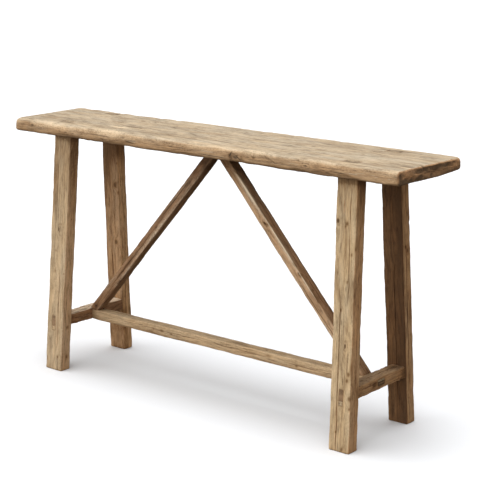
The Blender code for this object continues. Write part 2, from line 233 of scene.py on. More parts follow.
def outline(fibres, width, depth, radii):
    """Points and outward directions of a section. Sizes may be arrays, one per station."""
    width, depth = np.asarray(width, float), np.asarray(depth, float)
    corners = ((1, -1), (1, 1), (-1, 1), (-1, -1))
    directions = ((0, -1), (1, 0), (0, 1), (-1, 0))
    # arris is 1 on a corner and fades to 0 on the flat of a side
    us, vs, nus, nvs, arris = [], [], [], [], []
    for kind, k, share, _ in fibres:
        radius = np.asarray(radii[k], float)
        centre = (corners[k][0] * (width / 2 - radius), corners[k][1] * (depth / 2 - radius))
        nu, nv = directions[k]
        if kind == "corner":
            angle = math.atan2(nv, nu) + share * math.pi / 2
            nu, nv = math.cos(angle), math.sin(angle)
            us.append(centre[0] + radius * nu)
            vs.append(centre[1] + radius * nv)
            arris.append(np.ones_like(us[-1]))
        else:
            before = np.asarray(radii[k - 1], float)
            start_u = corners[k - 1][0] * (width / 2 - before) + before * nu
            start_v = corners[k - 1][1] * (depth / 2 - before) + before * nv
            end_u, end_v = centre[0] + radius * nu, centre[1] + radius * nv
            us.append(start_u + (end_u - start_u) * share)
            vs.append(start_v + (end_v - start_v) * share)
            length = np.hypot(end_u - start_u, end_v - start_v)
            arris.append(np.exp(-length * min(share, 1 - share) / ARRIS_REACH))
        nus.append(nu * np.ones_like(us[-1]))
        nvs.append(nv * np.ones_like(us[-1]))
    return [np.stack(columns, axis=-1) for columns in (us, vs, nus, nvs, arris)]


# %% [markdown]
# Worms, nails and knocks leave small holes anywhere on an old timber. They are dents like the
# ones that are listed further on, but their places are drawn from a seeded table.

# %% Small pits
# A dent is: place (along, u, v), half sizes (along, across), depth, how dark, how pale.
PIT_SIZES = (2.2, 4.2)
PIT_DEPTHS = (0.6, 1.8)
PIT_TONES = (0.7, 1.5)


def pits(look, x, u, v, seed):
    """Worm and nail holes as dents. `unit` is how far one unit of x goes less than a metre."""
    random = np.random.default_rng(seed + 200)
    found = []
    for _ in range(look.get("pits", 0)):
        ring, fibre = random.integers(0, x.shape[0]), random.integers(0, x.shape[1])
        place = (x[ring, fibre], u[ring, fibre], v[ring, fibre])
        size = random.uniform(*PIT_SIZES) * MM
        sizes = (1.6 * size * look.get("unit", 1.0), size)
        found.append((place, sizes, random.uniform(*PIT_DEPTHS) * MM, random.uniform(*PIT_TONES), 0.0))
    return found


# %% [markdown]
# What a timber has been through is told in a few words. Swell is the slow wave of a hand-hewn
# face, nap the small roughness, and chip how far the arrises are broken back. Grime is how
# readily it stains and rub how readily its arrises wear pale. Two more words add dirt and
# painted shade, and pale wear, at places that the piece knows, such as the painted shade under
# the plank, and hold keeps a tenon's skin flat.


# %% The skin of a timber
CRACK_STAIN = 1.6
CRACK_WANDER = 1.2 * MM


def weather(along, skin, fibres, look, seed):
    """Push the skin in and out. Returns the new skin, its stain and painted shade, and its wear and painted
    highlight.
    """
    u, v, nu, nv, arris = skin
    steps = np.hypot(np.diff(u.mean(0), append=u.mean(0)[:1]), np.diff(v.mean(0), append=v.mean(0)[:1]))
    around = np.broadcast_to(np.concatenate([[0], np.cumsum(steps)[:-1]]), u.shape)
    girth = float(steps.sum())
    x = np.broadcast_to(np.asarray(along, float)[:, None], u.shape)

    push = look["swell"] * rough(x, around, girth, (0.16, 0.07), seed)
    push = push + look["nap"] * rough(x, around, girth, (0.030, 0.009), seed + 1)
    breaks = np.clip(rough(x, around, girth, (0.035, 0.03), seed + 2) + 0.25, 0, None)
    push = push - look["chip"] * arris * breaks
    stain = np.clip(rough(x, around, girth, (0.12, 0.03), seed + 3) - 0.35, 0, 1) * look["grime"]
    wear = arris * np.clip(0.55 + rough(x, around, girth, (0.09, 0.05), seed + 4), 0, 1.3)
    wear = wear * look["rub"]

    for number, crack in enumerate(look["cracks"]):
        line = next(i for i, fibre in enumerate(fibres) if fibre[3] == number)
        start, end = crack["span"]
        inside = np.clip((x[:, line] - start) * (end - x[:, line]) / (end - start) ** 2 * 8, 0, 1)
        inside = inside * (0.75 + 0.25 * waves(x[:, line], 0, 1, (0.02, 1), seed + 60 + number))
        push[:, line] -= crack["depth"] * inside
        stain[:, line] += CRACK_STAIN * inside
        shift = CRACK_WANDER * waves(x[:, line], 0, 1, (0.05, 1), seed + 90 + number)
        for i in (line - 1, line, line + 1):
            u[:, i] -= nv[:, i] * shift
            v[:, i] += nu[:, i] * shift
    for place, size, depth, dark, pale in look["dents"] + pits(look, x, u, v, seed):
        far = ((x - place[0]) / size[0]) ** 2
        far = far + ((u - place[1]) ** 2 + (v - place[2]) ** 2) / size[1] ** 2
        near = np.exp(-1.4 * far)
        push -= depth * near
        stain += dark * near
        wear += pale * np.exp(-0.8 * far)
    # dirt and painted shade at places that the piece knows, such as the shade under the plank
    if "soil" in look:
        uneven = 0.75 + 0.5 * rough(x, around, girth, (0.03, 0.02), seed + 5)
        stain = stain + look["soil"](x, u, v) * uneven
    if "rim" in look:
        uneven = 0.6 + 0.6 * rough(x, around, girth, (0.01, 0.012), seed + 6)
        wear = wear + look["rim"](x, u, v) * uneven
    if "hold" in look:
        push = push * look["hold"](x)
    return u + nu * push, v + nv * push, np.clip(stain, 0, 2), np.clip(wear, 0, 2)


# %% [markdown]
# Each end is closed with rings that draw in towards the middle of the section. They carry the
# saw marks and the soot of an end, and give it points enough for the finish to show them.

# %% Skin and ends become a mesh
CAP_STEPS = (0.94, 0.82, 0.62, 0.40, 0.20, 0.06)


def cap_rings(u, v, step):
    """One end's section drawn in towards its middle line."""
    half_u, half_v = np.abs(u).max(), np.abs(v).max()
    inset = (1 - step) * min(half_u, half_v)
    return u * (1 - inset / half_u), v * (1 - inset / half_v)


def end_layers(ring, first, along, skin, shift, look):
    """The rings that close one end, from the skin's last section inwards."""
    u, v, stain, wear = skin
    hollow = look.get("end_hollow")
    layers = []
    for step in CAP_STEPS:
        cu, cv = cap_rings(u[ring], v[ring], step)
        sink = hollow(cu + shift[0][ring], cv + shift[1][ring], step) if hollow else 0.0
        away = along[ring] + (sink if first else -sink)
        darkening = look["end_stain"](cu, cv, first) if "end_stain" in look else 0.0
        tones = (stain[ring] * step + darkening, wear[ring] * step ** 6, 1.0)
        layers.append((away, cu, cv, *tones, shift[0][ring], shift[1][ring]))
    return layers


def timber(name, node, body_frame, place, along, sizes, look, seed, pitch=3.5 * MM):
    """Loft a weathered timber and let it stand for a CAD node.

    sizes holds width, depth, radii, and optionally u and v shifts of the section's middle,
    one value or one per station. place maps (along, u, v) to world points.
    """
    nominal = (float(np.max(sizes["width"])), float(np.max(sizes["depth"])))
    fibres = fibre_list(*nominal, pitch, look["cracks"])
    ones = np.ones(len(along))
    radii = [np.asarray(radius) * ones for radius in sizes["radii"]]
    skin = outline(fibres, sizes["width"] * ones, sizes["depth"] * ones, radii)
    skin = weather(along, skin, fibres, look, seed)
    shift = [np.asarray(sizes.get(axis, 0.0)) * ones for axis in ("u", "v")]

    # each layer is: along, u, v, stain and painted shade, wear and painted highlight, end, and the shifts
    # of its middle
    body = [
        (along[i], *(part[i] for part in skin), 0.0, shift[0][i], shift[1][i])
        for i in range(len(along))
    ]
    first_end = end_layers(0, True, along, skin, shift, look)
    last_end = end_layers(len(along) - 1, False, along, skin, shift, look)
    layers = first_end[::-1] + body + last_end

    points, stains, wears, ends_on = [], [], [], []
    for away, u, v, stain, wear, end, shift_u, shift_v in layers:
        points.append(place(away + 0 * u, u + shift_u, v + shift_v))
        stains.append(stain)
        wears.append(wear)
        ends_on.append(np.full(len(u), end))
    count = len(fibres)
    faces = []
    for ring in range(len(layers) - 1):
        base = ring * count
        for i in range(count):
            j = (i + 1) % count
            faces.append((base + i, base + j, base + count + j, base + count + i))
    faces.append(tuple(reversed(range(count))))
    faces.append(tuple(range((len(layers) - 1) * count, len(layers) * count)))

    mesh = bpy.data.meshes.new(name)
    mesh.from_pydata(np.concatenate(points).tolist(), [], faces)
    for label, values in (("stain", stains), ("wear", wears), ("end", ends_on)):
        layer = mesh.attributes.new(label, "FLOAT", "POINT")
        layer.data.foreach_set("value", np.concatenate(values).astype(np.float32))
    piece = bpy.data.objects.new(name, mesh)
    bpy.context.scene.collection.objects.link(piece)
    shell = bmesh.new()
    shell.from_mesh(mesh)
    bmesh.ops.recalc_face_normals(shell, faces=shell.faces)
    shell.to_mesh(mesh)
    shell.free()
    piece.matrix_world = body_frame
    mesh.transform(body_frame.inverted())
    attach(piece, "root")
    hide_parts(node)
    print(name, len(mesh.vertices), "points")
    return piece


# %% [markdown]
# Every size comes from the packed model, so the weathered timbers meet just as the plain ones
# do. A box gives most of them. A leaning or stepped timber is read point by point.


# %% Places read from the frame
SAME_LEVEL = 0.4 * MM


def node_points(node):
    """All the points of a packed piece, as rows of x, y, z."""
    return np.array([p.co[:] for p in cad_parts[node].data.vertices])


def corners_at(node, z):
    """Lowest and highest (x, y) of a node's points at height z."""
    points = node_points(node)
    level = points[np.abs(points[:, 2] - z) < SAME_LEVEL]
    return level[:, :2].min(0), level[:, :2].max(0)


def grain_frame(start, along, flat):
    """A timber's own axes: X along its grain, Z as near to `flat` as it can be."""
    x = Vector(along).normalized()
    y = Vector(flat).cross(x).normalized()
    z = x.cross(y)
    turn = Matrix((x, y, z)).transposed().to_4x4()
    return Matrix.Translation(Vector(start)) @ turn


plank_low, plank_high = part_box("table_top")
TOP = plank_high.z
UNDER = plank_low.z
TENON_ARRIS = 0.8 * MM
print("plank", [round(x, 4) for x in plank_high - plank_low])

# %% [markdown]
# ## The legs
#
# Each leg is one post that leans out both ways. It is cut level at the foot and under the
# plank, so its sections are level too, and each is shifted a little from the one below.
# At the top the section steps in to the tenon that runs up through the plank. The arrises
# are rubbed round and chipped, and long drying cracks follow the grain.

# %% The shape of a leg
CORNERS = ("front_left", "back_left", "front_right", "back_right")
LEG_STATION = 3.2 * MM


def leg_facts(corner):
    """Sizes and lean of a leg, read from its CAD node."""
    node = corner + "_leg"
    foot_low, foot_high = corners_at(node, 0.0)
    points = node_points(node)
    shoulder = points[(points[:, 2] < UNDER) & (points[:, 2] > UNDER - 2 * MM)]
    head_low, head_high = shoulder[:, :2].min(0), shoulder[:, :2].max(0)
    tenon_low, tenon_high = corners_at(node, TOP)
    z = float(shoulder[:, 2].max())
    foot, head = (foot_low + foot_high) / 2, (head_low + head_high) / 2
    return {
        "foot": foot,
        "lean": (head - foot) / z,
        "size": foot_high - foot_low,
        "shoulder": z,
        "tenon_size": tenon_high - tenon_low,
        "tenon_shift": (tenon_low + tenon_high) / 2 - foot - (head - foot) / z * TOP,
    }


LEG_FACTS = {corner: leg_facts(corner) for corner in CORNERS}
for corner, facts in LEG_FACTS.items():
    print(corner, "leans", [round(float(x), 3) for x in facts["lean"]])

# %% [markdown]
# Every leg has had the same life but its own faults. On a leg, u runs along the table and v
# from front to back, and sides 0 to 3 are its front, right, back and left faces. A dent is
# told as its place, half sizes, depth, how dark and how pale. A knot stands out a little, so
# its depth is below zero.

# %% What happened to each leg
LEG_LOOK = {"swell": 0.9 * MM, "nap": 0.45 * MM, "chip": 1.5 * MM, "grime": 0.9, "rub": 0.7, "pits": 22}


def crack(side, share, span, depth=4 * MM, width=1.4 * MM):
    """A drying crack on one side of a timber, at a share of its width, over a span along it."""
    return {"side": side, "share": share, "span": span, "depth": depth, "width": width}


LEG_FAULTS = {
    "front_left": {
        "cracks": [crack(0, 0.70, (0.06, 0.34)), crack(1, 0.45, (0.35, 0.72), 3 * MM),
                   crack(0, 0.32, (0.48, 0.70), 2.5 * MM), crack(2, 0.5, (0.1, 0.5))],
        "dents": [
            ((0.705, 0.034, -0.008), (0.010, 0.006), 2.0 * MM, 1.8, 0.0),
            ((0.141, 0.034, 0.002), (0.006, 0.005), 2.0 * MM, 1.6, 0.0),
            ((0.043, 0.034, 0.004), (0.008, 0.005), 2.0 * MM, 1.6, 0.0),
            ((0.40, -0.034, -0.016), (0.03, 0.007), 1.6 * MM, 0.9, 0.0),
            ((0.62, -0.026, -0.018), (0.10, 0.016), 0.4 * MM, 0.8, 0.0),
            ((0.66, 0.034, 0.0), (0.12, 0.024), 0.3 * MM, 0.8, 0.0),
            ((0.30, 0.0, -0.020), (0.10, 0.016), 0.3 * MM, 0.0, 0.5),
        ],
    },
    "back_left": {
        "cracks": [crack(0, 0.40, (0.10, 0.45)), crack(1, 0.55, (0.30, 0.70), 3 * MM),
                   crack(2, 0.35, (0.02, 0.6))],
        "dents": [
            ((0.570, 0.020, -0.019), (0.012, 0.007), -1.0 * MM, 1.6, 0.0),
            ((0.545, 0.031, -0.019), (0.007, 0.004), 1.5 * MM, 1.6, 0.0),
            ((0.375, 0.013, -0.019), (0.010, 0.007), -0.8 * MM, 1.5, 0.0),
            ((0.157, -0.015, -0.019), (0.006, 0.005), 3.0 * MM, 1.8, 0.0),
            ((0.141, -0.004, -0.019), (0.006, 0.005), 3.0 * MM, 1.8, 0.0),
            ((0.134, 0.014, -0.019), (0.006, 0.004), 2.0 * MM, 1.5, 0.0),
            ((0.200, 0.016, -0.019), (0.022, 0.007), 0.5 * MM, 0.0, 1.5),
            ((0.64, -0.014, -0.019), (0.11, 0.020), 0.3 * MM, 1.1, 0.0),
            ((0.40, -0.030, -0.016), (0.30, 0.010), 0.3 * MM, 0.8, 0.0),
        ],
    },
    "front_right": {
        "cracks": [crack(0, 0.34, (-0.02, 0.44), 5 * MM, 1.8 * MM),
                   crack(0, 0.74, (0.40, 0.73), 2.0 * MM, 1.2 * MM),
                   crack(1, 0.5, (0.08, 0.40), 3 * MM), crack(2, 0.4, (0.2, 0.7)),
                   crack(3, 0.5, (0.1, 0.5), 3 * MM)],
        "dents": [
            ((0.223, 0.024, -0.021), (0.007, 0.004), 2.0 * MM, 1.6, 0.0),
            ((0.205, 0.020, -0.021), (0.006, 0.004), 2.0 * MM, 1.5, 0.0),
            ((0.155, 0.031, -0.021), (0.008, 0.005), 2.4 * MM, 1.8, 0.0),
            ((0.127, 0.031, -0.021), (0.006, 0.004), 1.6 * MM, 1.5, 0.0),
            ((0.240, 0.032, -0.019), (0.030, 0.005), 1.6 * MM, 0.9, 0.0),
            ((0.640, -0.026, -0.021), (0.008, 0.006), -0.8 * MM, 1.5, 0.0),
            ((0.635, 0.004, -0.021), (0.006, 0.004), 1.2 * MM, 1.5, 0.0),
            ((0.560, 0.024, -0.021), (0.05, 0.006), 0.3 * MM, 0.0, 0.9),
        ],
    },
    "back_right": {
        "cracks": [crack(0, 0.55, (0.05, 0.5)), crack(1, 0.4, (0.10, 0.55), 3 * MM),
                   crack(2, 0.6, (0.2, 0.65))],
        "dents": [((0.52, 0.030, 0.004), (0.014, 0.007), -0.8 * MM, 1.3, 0.0)],
    },
}

print(sum(len(faults["dents"]) for faults in LEG_FAULTS.values()), "dents and knots on the legs")

# %% [markdown]
# A leg is darker at its own places. Under the plank there is painted shade: a dark line where
# the leg meets it, and a softer band below, stronger towards the leg's right face. The back left
# leg has a longer black band of painted shade, and the back right one is black along its front
# towards the outer arris, partly dirt and partly painted shadow. There is painted shade round
# the side stretcher's joint, damp has crept up from the floor, and the back left leg's front is
# darker below the side stretcher.

# %% Build the legs
JOINT_HEIGHT = 0.165
legs = {}
for number, corner in enumerate(CORNERS):
    facts = LEG_FACTS[corner]
    shoulder = facts["shoulder"]
    post = np.arange(0, shoulder, LEG_STATION)
    post = np.concatenate([post[:1], [0.8 * MM, 2 * MM], post[1:], [shoulder]])
    peg = np.array([shoulder, shoulder + 2 * MM, (shoulder + TOP) / 2, TOP - 1.5 * MM, TOP])
    along = np.concatenate([post, peg])
    is_post = np.concatenate([np.ones(len(post)), np.zeros(len(peg))])
    foot_round = 2.0 * MM * np.clip(1 - along / (2.5 * MM), 0, 1) ** 2
    sizes = {
        "width": np.where(is_post > 0, facts["size"][0] - 2 * foot_round, facts["tenon_size"][0]),
        "depth": np.where(is_post > 0, facts["size"][1] - 2 * foot_round, facts["tenon_size"][1]),
        "radii": [np.where(is_post > 0, 2.6 * MM, TENON_ARRIS)] * 4,
        "u": np.where(is_post > 0, 0.0, facts["tenon_shift"][0]),
        "v": np.where(is_post > 0, 0.0, facts["tenon_shift"][1]),
    }

    def leg_place(z, u, v, facts=facts):
        """Every section is level, and the lean shifts each one a little from the last."""
        x = facts["foot"][0] + facts["lean"][0] * z + u
        y = facts["foot"][1] + facts["lean"][1] * z + v
        return np.stack([x, y, z + 0 * u], axis=-1)

    def soil(z, u, v, top=shoulder, corner=corner, facts=facts):
        """Painted shade under the plank and round the side stretcher's joint, damp at the foot, and dirt
        with painted shadow on the back right leg's front.
        """
        below = top - z
        inner = v if "front" in corner else -v
        # painted shade round the side stretcher's joint, towards the leg's inner side
        joint_shade = np.exp(-((z - JOINT_HEIGHT) / 0.035) ** 2) * np.clip(0.3 + inner / 0.02, 0, 1)
        low_darkening = 0.8 * np.exp(-z / 0.004) + 0.25 * np.exp(-z / 0.03)
        # painted shade: a dark line just under the plank, and a softer band below, stronger towards the
        # right face
        darkening = 1.2 * np.exp(-np.clip(below - 0.013, 0, 1) / 0.005)
        darkening += 0.65 * np.exp(-below / 0.08) * (1 + 0.3 * (u > 0.42 * facts["size"][0]))
        if corner == "back_left":
            # a longer band of painted shade under the plank
            darkening += 1.6 * np.exp(-np.clip(below - 0.078, 0, 1) / 0.022)
            # darker on the front below the side stretcher
            low_darkening = low_darkening + 0.7 * np.clip((0.155 - z) / 0.02, 0, 1) * (v < 0)
        if corner == "back_right":
            # black along the front towards the outer arris, partly dirt and partly painted shadow
            darkening += 2.2 * np.clip(0.15 + u / 0.04, 0, 1) * (v < -0.4 * facts["size"][1])
        return darkening + 0.5 * joint_shade + low_darkening

    look = dict(LEG_LOOK, soil=soil, **LEG_FAULTS[corner])
    look["hold"] = lambda z, top=shoulder: np.where(z > top - 1 * MM, 0.0, 1.0)
    lean = Vector((facts["lean"][0], facts["lean"][1], 1.0))
    own = grain_frame((*facts["foot"], 0.0), lean, (0, 1, 0))
    seed = 100 + 7 * number
    legs[corner] = timber(
        corner + "_post", corner + "_leg", own, leg_place, along, sizes, look, seed, pitch=3 * MM
    )

# %% [markdown]
# ## The plank
#
# The top is one thick board. Its upper arrises are worn to a long soft round, the lower ones
# are chipped, the left end is rubbed round like a loaf, and the right end is sawn square with
# a split in it. Rounding is a matter of section sizes here: near an end each section is a
# little smaller than the last.

# %% What happened to the plank
FINE_CRACK = 1.2 * MM


def plank_soil(x, u, v):
    """Darker along the lower front arris, painted shade underneath, and dirt round the sawn end's lower
    rim.
    """
    front = 1.1 * np.clip((-v - 0.008) / 0.010, 0, 1) * np.clip(-u / 0.1, 0, 1)
    under = 0.5 * np.clip((-v - 0.010) / 0.01, 0, 1)
    return front + under + 0.8 * np.exp(-(plank_high.x - x) / 0.004) * (v < 0.012)


def plank_rim(x, u, v):
    """Bare wood on the sawn end's upper rim and along the upper front arris, left of middle."""
    rim = 1.2 * np.exp(-(plank_high.x - x) / 0.006) * (v > 0.012)
    return rim + np.exp(-((x + 0.42) / 0.28) ** 2 - ((v - 0.010) / 0.009) ** 2) * (u < -0.12)


PLANK_LOOK = {
    "swell": 0.8 * MM, "nap": 0.45 * MM, "chip": 2.2 * MM, "grime": 0.9, "rub": 1.1, "pits": 70,
    "soil": plank_soil,
    "rim": plank_rim,
    "cracks": [
        crack(2, 0.62, (-0.42, -0.26), 2.2 * MM), crack(2, 0.66, (-0.40, -0.30), 1.8 * MM),
        crack(2, 0.30, (-0.70, -0.18), 1.6 * MM, FINE_CRACK),
        crack(2, 0.42, (-0.10, 0.40), 1.4 * MM, FINE_CRACK),
        crack(2, 0.54, (0.10, 0.62), 1.6 * MM, FINE_CRACK),
        crack(2, 0.20, (0.30, 0.715), 2.0 * MM),
        crack(2, 0.76, (-0.05, 0.30), 1.5 * MM, FINE_CRACK),
        crack(2, 0.84, (-0.62, -0.30), 1.4 * MM, FINE_CRACK),
        crack(0, 0.30, (-0.5, 0.3), 3 * MM), crack(0, 0.62, (-0.2, 0.6), 3 * MM),
        crack(3, 0.42, (-0.30, 0.15), 1.8 * MM, FINE_CRACK),
        crack(3, 0.60, (0.20, 0.66), 2.0 * MM, FINE_CRACK),
        crack(1, 0.50, (-0.4, 0.5), 2.0 * MM),
    ],
}
print(len(PLANK_LOOK["cracks"]), "drying cracks")


# %% Rounded ends
def quarter_round(distance, radius):
    """How far a rounded end stands in at a distance from it."""
    distance = np.minimum(distance, radius)
    return radius - np.sqrt(np.maximum(radius ** 2 - (radius - distance) ** 2, 0))


def near_ends(length, pitch):
    """Stations along a piece, closer together towards both ends."""
    close = np.array([0, 0.4, 1.0, 1.9, 3.0, 4.4, 6.2, 8.4, 11.0, 14.0]) * MM
    middle = np.linspace(close[-1], length - close[-1], int((length - 2 * close[-1]) / pitch) + 1)
    return np.concatenate([close, middle[1:-1], length - close[::-1]])


# %% Sections of the plank
length = plank_high.x - plank_low.x
depth = plank_high.y - plank_low.y
thick = TOP - UNDER
away = near_ends(length, 4 * MM)
x = away + plank_low.x
left, right = away, length - away
end_inset = quarter_round(left, 15 * MM) + quarter_round(right, 4.0 * MM)
front_inset = 0.6 * end_inset + quarter_round(left, 9 * MM) + quarter_round(right, 4 * MM)
back_inset = 0.6 * end_inset + quarter_round(left, 14 * MM) + quarter_round(right, 12 * MM)
front_inset = front_inset + 0.9 * MM * (1 + np.cos(5.2 * x + 3.84))
back_inset = back_inset + 0.9 * MM * (1 + np.cos(4.1 * x + 2.0))
worn_under = 2.6 * MM * np.exp(-((x - 0.28) / 0.14) ** 2) + MM * np.sin(11 * x)
worn_over = 5 * MM * np.exp(-((x + 0.55) / 0.25) ** 2)
low = UNDER + end_inset
high = TOP - end_inset
upper_round = np.maximum(11 * MM + worn_over - 0.5 * end_inset, 3 * MM)
lower_round = np.maximum(5.5 * MM + worn_under - 0.4 * end_inset, 2.5 * MM)
sizes = {
    "width": depth - front_inset - back_inset,
    "depth": high - low,
    "radii": [lower_round, upper_round, upper_round, lower_round],
    "u": (front_inset - back_inset) / 2,
    "v": (low + high) / 2 - (TOP + UNDER) / 2,
}
mid_z = (TOP + UNDER) / 2
print(len(x), "sections along the plank")


# %% Uneven ends
def lattice(a, b, steps, seed):
    """Smooth noise over any two coordinates in metres."""
    return rough(a + 1.0, b + 1.0, 4.0, steps, seed)


def plank_place(x, u, v):
    """The ends are uneven: the right one is proud at the back and split near the middle."""
    x = x + 0 * u
    at_left = np.clip(1 - (x - plank_low.x) / (25 * MM), 0, 1) ** 2
    at_right = np.clip(1 - (plank_high.x - x) / (30 * MM), 0, 1) ** 2
    crumble = 1.3 * MM * lattice(u, v, (0.022, 0.012), 5)
    hollow = 2.5 * MM * np.exp(-(u / 0.05) ** 2) * np.clip(v / 0.02, 0, 1)
    proud = (3.5 + 6.5 * np.clip(u / 0.15, -0.5, 1)) * MM
    split = 8.0 * MM * np.exp(-((u + 0.030 + 0.15 * v) / (3.4 * MM)) ** 2)
    split = split * np.clip(0.6 + v / 0.02, 0.2, 1)
    close = np.clip(1 - (plank_high.x - x) / (16 * MM), 0, 1)
    bite = (1 - np.sqrt(1 - 0.96 * close ** 2)) * np.clip((u - 0.03) / 0.11, 0, 1) ** 1.5
    x = x - at_left * (5.0 * MM - hollow + 0.7 * crumble)
    x = x + at_right * (proud + crumble) - at_right ** 2 * split
    return np.stack([x, u, mid_z + v * np.where(v < 0, 1 - 0.78 * bite, 1 - 0.22 * bite)], axis=-1)


# %% [markdown]
# The plank's dents are told in the same way, with each place along, across and up from its
# middle.

# %% Dents and sawn ends
UP = thick / 2
FRONT = -depth / 2
PLANK_LOOK["dents"] = [
    ((-0.335, -0.075, UP), (0.040, 0.016), 1.4 * MM, 0.0, 1.5),
    ((-0.300, -0.050, UP), (0.030, 0.005), 1.0 * MM, 1.2, 0.0),
    ((-0.363, 0.055, UP), (0.007, 0.006), 1.4 * MM, 1.5, 0.0),
    ((-0.273, -0.049, UP), (0.006, 0.005), 1.2 * MM, 1.3, 0.0),
    ((-0.040, -0.003, UP), (0.006, 0.005), 1.4 * MM, 1.4, 0.0),
    ((0.703, -0.072, UP), (0.022, 0.006), 2.8 * MM, 1.1, 0.0),
    ((0.710, -0.085, UP), (0.020, 0.005), 0.5 * MM, 0.0, 1.6),
    ((0.728, -0.030, UP), (0.012, 0.005), 4.0 * MM, 1.6, 0.0),
    ((0.176, FRONT, 0.002), (0.020, 0.012), -1.4 * MM, 0.3, 0.0),
    ((0.165, FRONT, -0.004), (0.007, 0.009), 2.6 * MM, 1.8, 0.0),
    ((0.205, FRONT, -0.010), (0.010, 0.006), 1.6 * MM, 1.2, 0.0),
    ((-0.650, FRONT, 0.005), (0.022, 0.009), -0.8 * MM, 0.5, 0.3),
    ((-0.222, FRONT, -0.007), (0.028, 0.003), 1.0 * MM, 1.1, 0.0),
    ((0.406, FRONT, -0.014), (0.030, 0.006), 1.2 * MM, 1.1, 0.0),
    ((0.484, FRONT, -0.012), (0.045, 0.006), 1.4 * MM, 1.2, 0.0),
    ((0.563, FRONT, -0.010), (0.030, 0.004), 1.2 * MM, 1.0, 0.0),
    ((0.00, FRONT, -0.015), (0.080, 0.006), 1.2 * MM, 0.9, 0.0),
    ((-0.28, FRONT, -0.015), (0.060, 0.006), 1.4 * MM, 0.9, 0.0),
    ((-0.50, FRONT, -0.012), (0.070, 0.007), 1.0 * MM, 0.9, 0.0),
    ((0.10, 0.04, -UP), (0.020, 0.012), 1.5 * MM, 1.4, 0.0),
    ((-0.35, -0.05, -UP), (0.030, 0.014), 1.5 * MM, 1.2, 0.0),
]


def sawn_end(u, v, step):
    """Saw marks across an end, deeper away from its rim."""
    marks = 0.4 * MM * np.sin(u * 260 + v * 90) + 1.6 * MM * lattice(u, v, (0.012, 0.008), 41)
    return (1 - step ** 4) * marks


def end_soot(u, v, first):
    """Dark, uneven patches on an end, with one black patch on the right end near its split."""
    blotch = np.clip(lattice(u, v, (0.026, 0.016), 31) * 1.6 + 0.1, 0, 1.2)
    patch = 1.3 * np.exp(-((u - 0.03) / 0.055) ** 2 - ((v - 0.010) / 0.011) ** 2)
    corner = 0.9 * np.exp(-((u + 0.140) / 0.014) ** 2)
    return 0.5 * blotch if first else 0.9 * blotch + patch + corner


PLANK_LOOK["end_hollow"] = sawn_end
PLANK_LOOK["end_stain"] = end_soot

# %% Build the plank
own = grain_frame((0, 0, mid_z), (1, 0, 0), (0, 0, 1))
plank = timber("plank", "table_top", own, plank_place, x, sizes, PLANK_LOOK, 11, pitch=3.3 * MM)

# %% [markdown]
# ## The side stretchers
#
# One at each end, between the front and the back leg. Its ends lie flat against legs that
# slope, so each fibre has its own length. The place function works that out: it knows the
# Y of each leg's inner and outer face at any height. Past the shoulders the section steps in
# to a narrow tenon that shows on the outer face of the leg.

# %% Sloping faces of the legs
def leg_face_y(corner, z, outer):
    """The y of a leg's outer or inner face at height z."""
    facts = LEG_FACTS[corner]
    side = -1 if "front" in corner else 1
    reach = side if outer else -side
    return facts["foot"][1] + facts["lean"][1] * z + reach * facts["size"][1] / 2


def stretcher_facts(end):
    """Middle, section and tenons of a side stretcher, read from its CAD node."""
    low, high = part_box(end + "_side_stretcher")
    points = node_points(end + "_side_stretcher")
    tips = points[np.abs(points[:, 1] - low.y) < 6 * MM]
    return {
        "x": (low.x + high.x) / 2, "width": high.x - low.x,
        "z": (low.z + high.z) / 2, "depth": high.z - low.z,
        "tenon_x": (tips[:, 0].min() + tips[:, 0].max()) / 2,
        "tenon_width": tips[:, 0].max() - tips[:, 0].min(),
        "tenon_depth": tips[:, 2].max() - tips[:, 2].min(),
    }


# %% What happened to the side stretchers
# Along one, t is 0 at the front leg's inner face and 1 at the back leg's.
def side_soil(t, u, v):
    """Painted shade in the corners against the legs, but not on the upper face."""
    return 0.9 * (np.exp(-np.abs(t) / 0.05) + np.exp(-np.abs(1 - t) / 0.05)) * (v < 0.014)


def side_end_stain(u, v, first):
    """The tenon's end is dirty, most of all the upper part of the front one."""
    return 0.30 + 0.45 * np.clip(v / 0.012, 0, 1) * first


SIDE_LOOK = {
    "swell": 0.9 * MM, "nap": 0.5 * MM, "chip": 1.7 * MM, "grime": 1.3, "rub": 0.8, "pits": 12, "unit": 4.0,
    "soil": side_soil,
    "end_stain": side_end_stain,
    "hold": lambda t: np.where((t < 0) | (t > 1), 0.0, 1.0),
}
SIDE_FAULTS = {
    "left": {"cracks": [crack(1, 0.5, (0.1, 0.8), 2 * MM), crack(2, 0.4, (0.2, 0.9), 2 * MM)],
             "dents": [((0.3, 0.01, 0.018), (0.1, 0.006), 1 * MM, 1.2, 0.0)]},
    "right": {"cracks": [crack(1, 0.62, (0.05, 0.55), 2 * MM), crack(2, 0.5, (0.3, 0.95), 2 * MM)],
              "dents": [((0.36, 0.0225, 0.001), (0.05, 0.008), 1.8 * MM, 1.7, 0.0),
                        ((0.90, 0.0, 0.018), (0.12, 0.022), 0.6 * MM, 1.0, 0.0),
                        ((0.97, 0.0225, 0.0), (0.06, 0.022), 0.4 * MM, 1.0, 0.0),
                        ((0.70, 0.0225, -0.014), (0.20, 0.006), 1.5 * MM, 0.2, 0.9)]},
}

